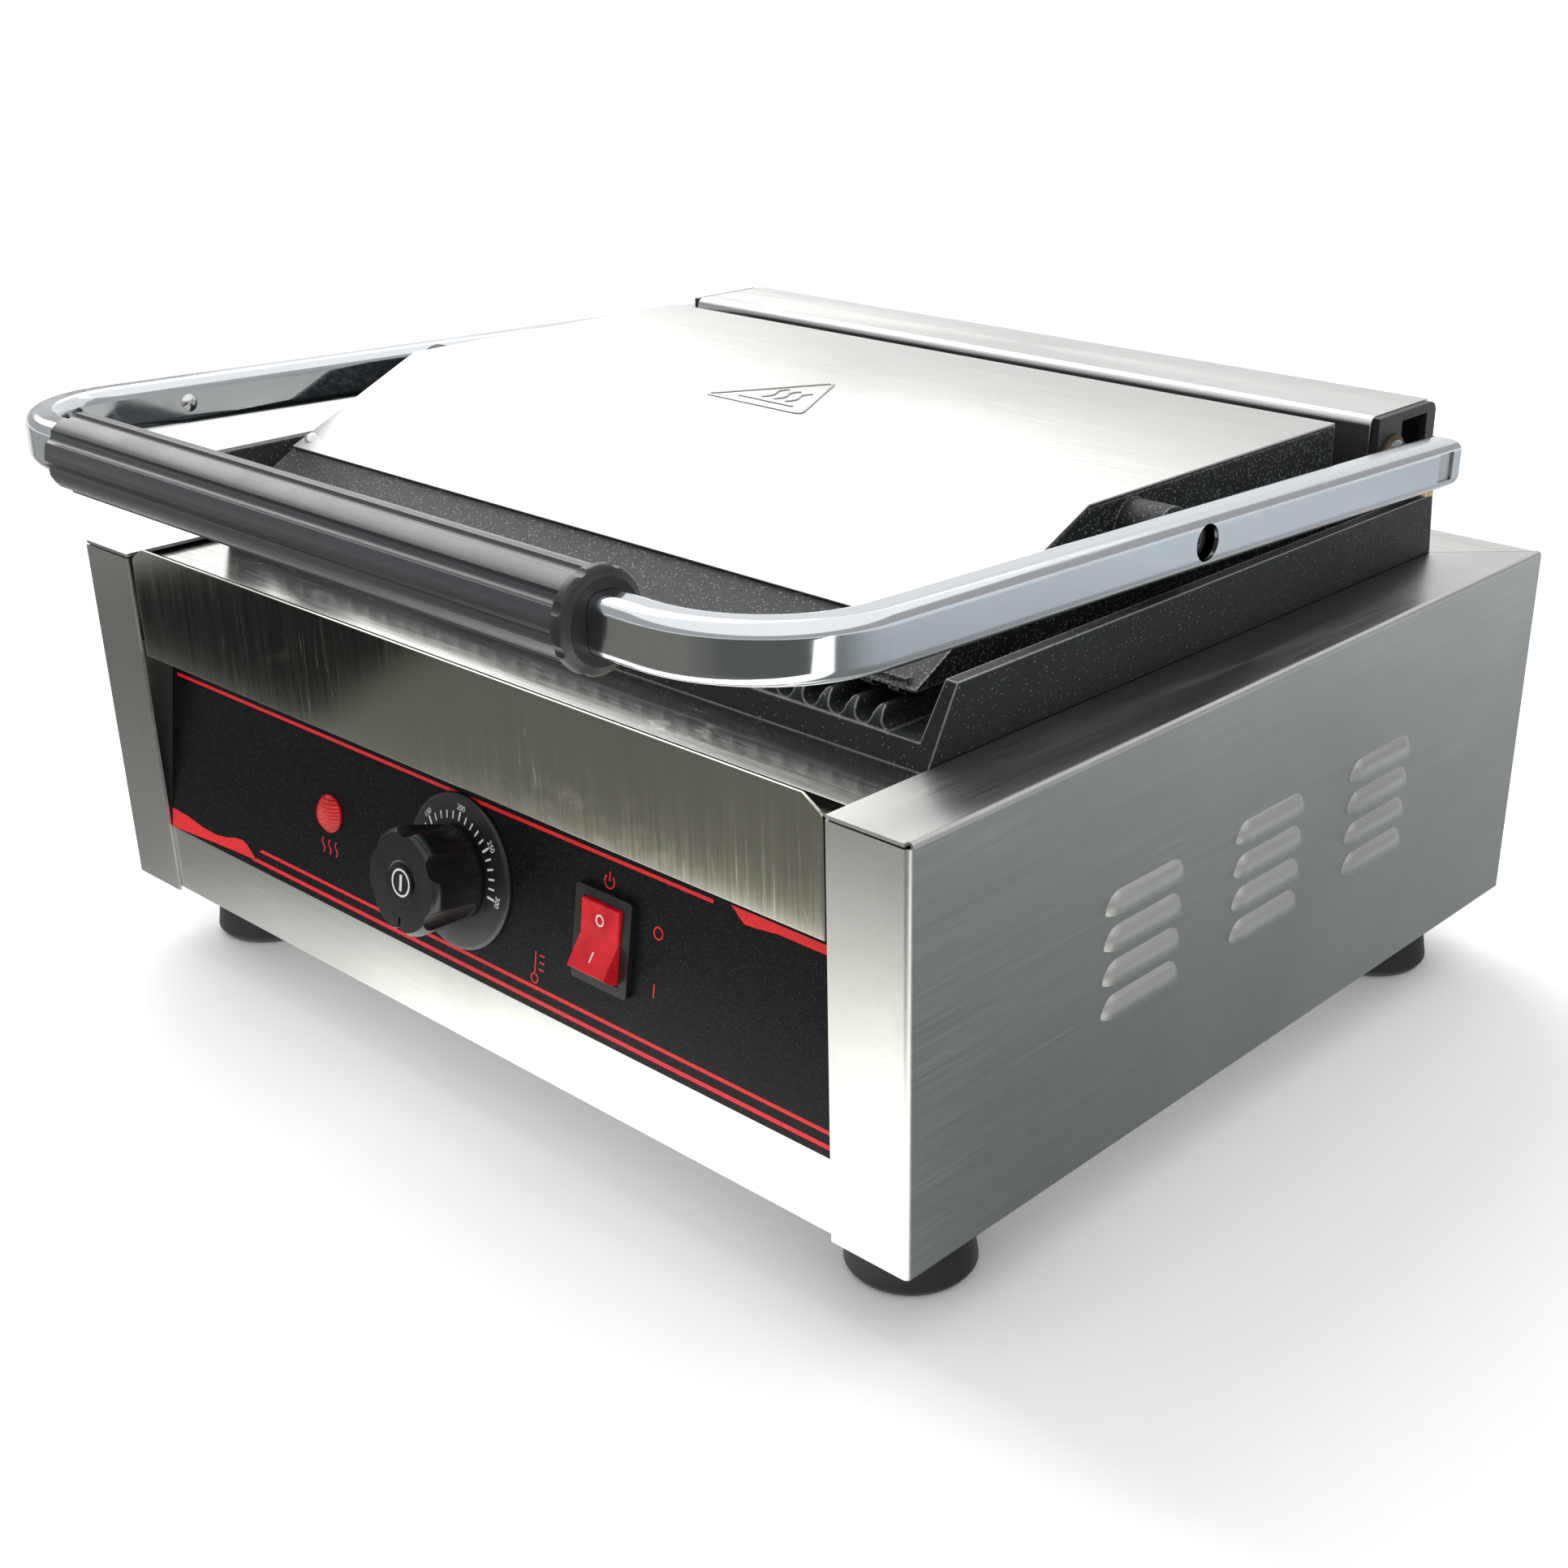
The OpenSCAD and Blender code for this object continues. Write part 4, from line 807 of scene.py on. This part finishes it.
class PRESS_OT_handle(bpy.types.Operator):
    """U-shaped handle with its grip, collar and screws"""

    bl_idname = "press.handle"
    bl_label = "Handle"

    def execute(self, context):
        eased("handle_tube", "handle", look("handle chrome"), 0.2 * MM)
        eased("handle_grip", "handle", look("grip"), 0.35 * MM)
        eased("grip_collar", "handle", look("collar"), 0.3 * MM)
        paint(["axle"], "zinc")
        paint(["arm_set_screws"], "yellow zinc")
        paint(["arm_dome_screws"], "screw chrome")
        return {"FINISHED"}


class PRESS_OT_controls(bpy.types.Operator):
    """Panel film with its lines, lamp, dial, knob and switch"""

    bl_idname = "press.controls"
    bl_label = "Controls"

    def execute(self, context):
        paint(["panel_film"], "film")
        self.panel_lines()
        self.dial()
        eased("thermostat_knob", "knob", look("knob plastic"), 0.3 * MM)
        self.pointer()
        eased("lamp_lens", "case", look("lens red"), 0.15 * MM)
        eased("switch_frame", "case", look("black plastic"), 0.3 * MM)
        eased("switch_rocker", "rocker", look("rocker red"), 0.35 * MM, 3)
        self.rocker_marks()
        return {"FINISHED"}

    def film_place(self):
        """The film's left and right edges in mm, and a function that places a point on it."""
        points = [v.co for v in frame["nodes"]["panel_film"].data.vertices]
        foot = min(p.dot(PANEL_UP) for p in points)
        face = max(p.dot(PANEL_OUT) for p in points)

        def place(x, s, h):
            return Vector((1, 0, 0)) * x * MM + PANEL_UP * (foot + s * MM) + PANEL_OUT * (face + h * MM)

        return min(p.x for p in points) / MM, max(p.x for p in points) / MM, place

    def panel_lines(self):
        """Red lines, flourishes and small signs, printed on the film."""
        left, right, place = self.film_place()
        low, high = -0.01, sizes().print_height / MM
        x0, x1 = left + 0.4, right - 0.4
        bm = bmesh.new()

        def add(outline):
            add_prism(bm, outline, place, low, high)

        add([(x0 + 3, 63.3), (125.0, 63.3), (125.0, 64.6), (x0 + 3, 64.6)])
        add([(-126.0, 2.6), (x1, 2.6), (x1, 4.1), (-123.0, 4.1)])
        add([(-121.0, 7.3), (x1, 7.3), (x1, 8.6), (-118.9, 8.6)])
        add([(x0, 0.1), (x0, 7.9), (x0 + 12, 7.3), (x0 + 22, 5.9), (x0 + 32, 5.5), (x0 + 40, 6.7),
             (x0 + 46, 8.3), (x0 + 50, 8.7), (x0 + 53, 7.9), (x0 + 57, 5.5), (x0 + 60, 3.2),
             (x0 + 46, 2.7), (x0 + 30, 1.9), (x0 + 15, 0.9)])
        add([(132.5, 65.3), (x1, 65.3), (x1, 62.3), (153, 62.3), (144, 61.3), (139, 60.9),
             (136.5, 62.5), (134.5, 64.1)])
        self.signs(bm, place, low, high)
        mesh = from_bmesh(bm, "panel_lines")
        mesh_object("panel_lines", mesh, "case", look("red ink"))

    def signs(self, bm, place, low, high):
        """Heat, temperature, power, off and on, as plain signs in place of words."""
        def line(points):
            add_band(bm, points, 0.55, place, low, high)

        for x in (-79.0, -75.0, -71.0):
            line([(x + 0.8 * math.sin(t / 8 * 2 * math.pi), 20.0 + t * 0.7) for t in range(9)])
        line([(44.0, 13.0), (44.0, 21.0)])
        line(arc(44.0, 11.2, 1.7, 80, -260, 20))
        for s in (15.0, 17.5, 20.0):
            line([(46.0, s), (48.5, s)])
        line(arc(77.8, 56.0, 2.3, 130, 410, 22))
        line([(77.8, 56.2), (77.8, 59.4)])
        ring = arc(102.0, 46.0, 2.0, 0, 360, 24)
        line(ring[:-1] + ring[:2])
        line([(102.0, 24.0), (102.0, 28.6)])

    def dial(self):
        """The ring with its marks and numbers, 50 to 300 degrees."""
        eased("dial_ring", "case", look("black plastic"), 0.3 * MM)
        h = sizes().print_height / MM
        bm = bmesh.new()
        step = sizes().tick_step
        for t in range(50, 301, step):
            angle = self.mark_angle(t)
            long_mark = t % 50 == 0
            r0, r1 = (18.9, 22.2) if long_mark else (19.0, 21.7)
            a = math.radians(90 - angle)
            d = Vector((math.cos(a), math.sin(a)))
            add_band(bm, [(d.x * r0, d.y * r0), (d.x * r1, d.y * r1)], 0.85 if long_mark else 0.68,
                     self.ring_place, 0.0, h)
        mesh = from_bmesh(bm, "dial_marks")
        mesh_object("dial_marks", mesh, "case", look("white ink"))
        for t in range(50, 301, 50):
            self.number(str(t), self.mark_angle(t))

    def mark_angle(self, heat):
        """Degrees round the ring from its top; 250 degrees of heat take 240 degrees of turn."""
        hottest, hottest_angle = 300, 100.0
        return hottest_angle - (hottest - heat) * (240.0 / 250.0)

    def ring_place(self, x, y, h):
        """A point on the ring's face, which falls away towards its rim."""
        r = math.hypot(x, y)
        inner, outer = 18.44, 26.4
        face = 3.4 if r < inner else 3.4 - 0.9 * (r - inner) / (outer - inner)
        return panel_point(x, y, face + h)

    def number(self, text, angle):
        curve = bpy.data.curves.new("dial_number", "FONT")
        curve.body = text
        curve.size = 2.9
        curve.align_x = "CENTER"
        curve.align_y = "CENTER"
        holder = bpy.data.objects.new("dial_number", curve)
        bpy.context.scene.collection.objects.link(holder)
        graph = bpy.context.evaluated_depsgraph_get()
        flat = bpy.data.meshes.new_from_object(holder.evaluated_get(graph))
        bpy.data.objects.remove(holder)
        bpy.data.curves.remove(curve)
        a = math.radians(90 - angle)
        turn = Matrix.Rotation(a - math.pi / 2, 2)
        centre = Vector((math.cos(a), math.sin(a))) * 23.5
        bm = bmesh.new()
        bm.from_mesh(flat)
        bpy.data.meshes.remove(flat)
        bmesh.ops.remove_doubles(bm, verts=bm.verts, dist=1e-4)
        h = sizes().print_height / MM
        made = bmesh.ops.extrude_face_region(bm, geom=bm.faces[:])
        raised = {v for v in made["geom"] if isinstance(v, bmesh.types.BMVert)}
        for v in bm.verts:
            p = turn @ Vector((v.co.x, v.co.y)) + centre
            v.co = self.ring_place(p.x, p.y, h if v in raised else 0.0)
        name = "dial_number_" + text
        mesh_object(name, from_bmesh(bm, name), "case", look("white ink"))

    def pointer(self):
        """Plain white ring and dot on the knob's cap, in place of a badge."""
        points = [v.co for v in frame["nodes"]["knob_cap"].data.vertices]
        top = max((p - DIAL_CENTRE).dot(PANEL_OUT) for p in points) / MM
        bm = bmesh.new()
        ring = arc(0, 0, 4.6, 0, 360, 40)
        add_band(bm, ring[:-1] + ring[:2], 0.7, panel_point, top - 0.05, top + 0.08)
        add_prism(bm, [(-0.6, -2.9), (0.6, -2.9), (0.6, 2.9), (-0.6, 2.9)], panel_point,
                  top - 0.05, top + 0.08)
        mesh = from_bmesh(bm, "knob_mark")
        mesh_object("knob_mark", mesh, "knob", look("white ink"))
        paint(["knob_cap"], "knob plastic")

    def rocker_marks(self):
        """White ring and bar on the two ends of the rocker."""
        tilt = math.radians(12)
        pivot = Vector(JOINTS["rocker_tilt"]["pos_m"])
        turn = Matrix.Rotation(-tilt, 3, "X")

        def place(x, y, h):
            # the rocker's face falls from its ends to its middle
            face = 3.2 + abs(y) * (2.8 / 11.5) + h
            local = turn @ Vector((x, y, face))
            return pivot + (Vector((1, 0, 0)) * local.x + PANEL_UP * local.y + PANEL_OUT * local.z) * MM

        bm = bmesh.new()
        ring = arc(0, 6.2, 1.7, 0, 360, 28)
        add_band(bm, ring[:-1] + ring[:2], 0.6, place, -0.05, 0.06)
        add_prism(bm, [(-0.3, -8.0), (0.3, -8.0), (0.3, -4.4), (-0.3, -4.4)], place, -0.05, 0.06)
        mesh = from_bmesh(bm, "rocker_marks")
        mesh_object("rocker_marks", mesh, "rocker", look("white ink"))


class PRESS_OT_stage(bpy.types.Operator):
    """Pale floor, soft lights and the camera"""

    bl_idname = "press.stage"
    bl_label = "Stage"

    def execute(self, context):
        scene = context.scene
        stage = scene.press_stage
        mesh = bpy.data.meshes.new("floor")
        mesh.from_pydata([(-12, -12, 0), (12, -12, 0), (12, 12, 0), (-12, 12, 0)], [], [(0, 1, 2, 3)])
        floor = bpy.data.objects.new("floor", mesh)
        scene.collection.objects.link(floor)
        made, tree, shader = material("floor paper", roughness=0.75)
        place = node(tree, "ShaderNodeTexCoord").outputs["Object"]
        grain = noise(tree, place, 60.0, 3.0)
        colour = mixed(tree, grain, shade(tuple(stage.floor), 0.985), tuple(stage.floor))
        tree.links.new(colour, shader.inputs["Base Color"])
        mesh.materials.append(made)

        world = bpy.data.worlds.new("studio")
        scene.world = world
        world.use_nodes = True
        background = world.node_tree.nodes["Background"]
        background.inputs["Color"].default_value = (1.0, 1.0, 1.0, 1.0)
        background.inputs["Strength"].default_value = stage.sky

        self.sun("daylight", (-0.715, 0.244, 0.656), 50.0, stage.day)
        self.sun("overhead", (0.1, -0.1, 1.0), 120.0, stage.overhead)
        self.area("back_wall", (-1.0, 2.3, 1.15), (0.0, 0.1, 0.2), (4.2, 2.3), stage.wall)
        self.card()

        camera = bpy.data.cameras.new("camera")
        camera.lens = 48.38
        camera.sensor_width = 36.0
        camera.shift_x = -0.0689
        camera.shift_y = 0.0654
        camera.clip_start = 0.05
        camera.clip_end = 60.0
        viewer = bpy.data.objects.new("camera", camera)
        viewer.location = (0.5535, -0.5479, 0.4038)
        viewer.rotation_euler = (math.radians(64.315), 0.0, math.radians(41.988))
        scene.collection.objects.link(viewer)
        scene.camera = viewer
        scene.view_settings.view_transform = "Standard"
        return {"FINISHED"}

    def card(self):
        """Painted reflection: a glowing card seen only in the polished faces, whose darker and paler
        parts set what each face reflects.
        """
        mesh = bpy.data.meshes.new("painted_reflection_card")
        mesh.from_pydata([(-3, -3, 0.0006), (3, -3, 0.0006), (3, 3, 0.0006), (-3, 3, 0.0006)],
                         [], [(0, 1, 2, 3)])
        card = bpy.data.objects.new("painted_reflection_card", mesh)
        bpy.context.scene.collection.objects.link(card)
        made, tree, shader = material("painted reflection", base_color=(0, 0, 0), roughness=1.0,
                                      specular_ior_level=0.0)
        place = node(tree, "ShaderNodeTexCoord").outputs["Object"]
        split = node(tree, "ShaderNodeSeparateXYZ", [("Vector", place)])
        x, y = split.outputs[0], split.outputs[1]
        wobble = noise(tree, place, 5.0, 3.0)
        # painted reflection: glowing colours laid out to give each polished face its reflected
        # brightness
        near = mixed(tree, spread(tree, x, -0.27, -0.14), (0.36, 0.36, 0.35), (1.15, 1.14, 1.10))
        near = mixed(tree, spread(tree, x, -0.14, -0.02), near, (2.70, 2.68, 2.58))
        slant = maths(tree, "ADD", x, maths(tree, "MULTIPLY", y, -0.45))
        slant = maths(tree, "ADD", slant, maths(tree, "MULTIPLY", wobble, 0.10))
        dark = mixed(tree, spread(tree, x, -0.72, -0.66), (0.42, 0.42, 0.41), (0.015, 0.018, 0.018))
        far = mixed(tree, spread(tree, slant, -0.18, -0.15), dark, (0.21, 0.21, 0.185))
        far = mixed(tree, spread(tree, x, 0.10, 0.45), far, (0.12, 0.125, 0.12))
        front = mixed(tree, spread(tree, y, -0.345, -0.335), far, near)
        beside = mixed(tree, spread(tree, y, -0.05, 0.60), (0.23, 0.25, 0.24), (0.62, 0.66, 0.69))
        distant = mixed(tree, spread(tree, y, -0.20, 0.12), (0.12, 0.125, 0.12), (0.48, 0.52, 0.54))
        distant = mixed(tree, spread(tree, y, 0.12, 0.55), distant, (0.90, 0.97, 1.02))
        beside = mixed(tree, spread(tree, x, 0.50, 0.75), beside, distant)
        beside = mixed(tree, spread(tree, wobble, 0.35, 0.65, 0.0, 0.30), beside, (0.20, 0.22, 0.22))
        rest = mixed(tree, spread(tree, x, 0.17, 0.22), (0.95, 0.95, 0.95), beside)
        colour = mixed(tree, spread(tree, y, -0.19, -0.16), front, rest)
        tree.links.new(colour, shader.inputs["Emission Color"])
        shader.inputs["Emission Strength"].default_value = 1.0
        mesh.materials.append(made)
        card.visible_camera = False
        card.visible_diffuse = False
        card.visible_transmission = False
        card.visible_volume_scatter = False
        card.visible_shadow = False

    def sun(self, name, place, angle, strength):
        light = bpy.data.lights.new(name, "SUN")
        light.angle = math.radians(angle)
        light.energy = strength
        lamp = bpy.data.objects.new(name, light)
        lamp.location = place
        lamp.rotation_euler = (-Vector(place)).to_track_quat("-Z", "Y").to_euler()
        bpy.context.scene.collection.objects.link(lamp)

    def area(self, name, place, target, size, power):
        light = bpy.data.lights.new(name, "AREA")
        light.shape = "RECTANGLE"
        light.size, light.size_y = size
        light.energy = power
        lamp = bpy.data.objects.new(name, light)
        lamp.location = place
        aim = Vector(target) - Vector(place)
        lamp.rotation_euler = aim.to_track_quat("-Z", "Y").to_euler()
        bpy.context.scene.collection.objects.link(lamp)


class PRESS_PT_panel(bpy.types.Panel):
    """Lists the pieces of the press"""

    bl_label = "Panini Press"
    bl_idname = "PRESS_PT_panel"
    bl_space_type = "VIEW_3D"
    bl_region_type = "UI"
    bl_category = "Press"

    def draw(self, context):
        for settings in (context.scene.press_sizes, context.scene.press_finish,
                         context.scene.press_stage):
            box = self.layout.box()
            for key in settings.__annotations__:
                box.prop(settings, key)
        for operator in STEPS:
            self.layout.operator(operator.bl_idname)


STEPS = (PRESS_OT_stage, PRESS_OT_case, PRESS_OT_inner, PRESS_OT_tray, PRESS_OT_plates,
         PRESS_OT_lid, PRESS_OT_handle, PRESS_OT_controls)
CLASSES = (PressSizes, PressFinish, PressStage, *STEPS, PRESS_PT_panel)


def register():
    for cls in CLASSES:
        bpy.utils.register_class(cls)
    bpy.types.Scene.press_sizes = PointerProperty(type=PressSizes)
    bpy.types.Scene.press_finish = PointerProperty(type=PressFinish)
    bpy.types.Scene.press_stage = PointerProperty(type=PressStage)


def unregister():
    del bpy.types.Scene.press_sizes
    del bpy.types.Scene.press_finish
    del bpy.types.Scene.press_stage
    for cls in reversed(CLASSES):
        bpy.utils.unregister_class(cls)


def main():
    register()
    bpy.ops.press.stage()
    bpy.ops.press.case()
    bpy.ops.press.inner()
    bpy.ops.press.tray()
    bpy.ops.press.plates()
    bpy.ops.press.lid()
    bpy.ops.press.handle()
    bpy.ops.press.controls()


if __name__ == "__main__":
    main()
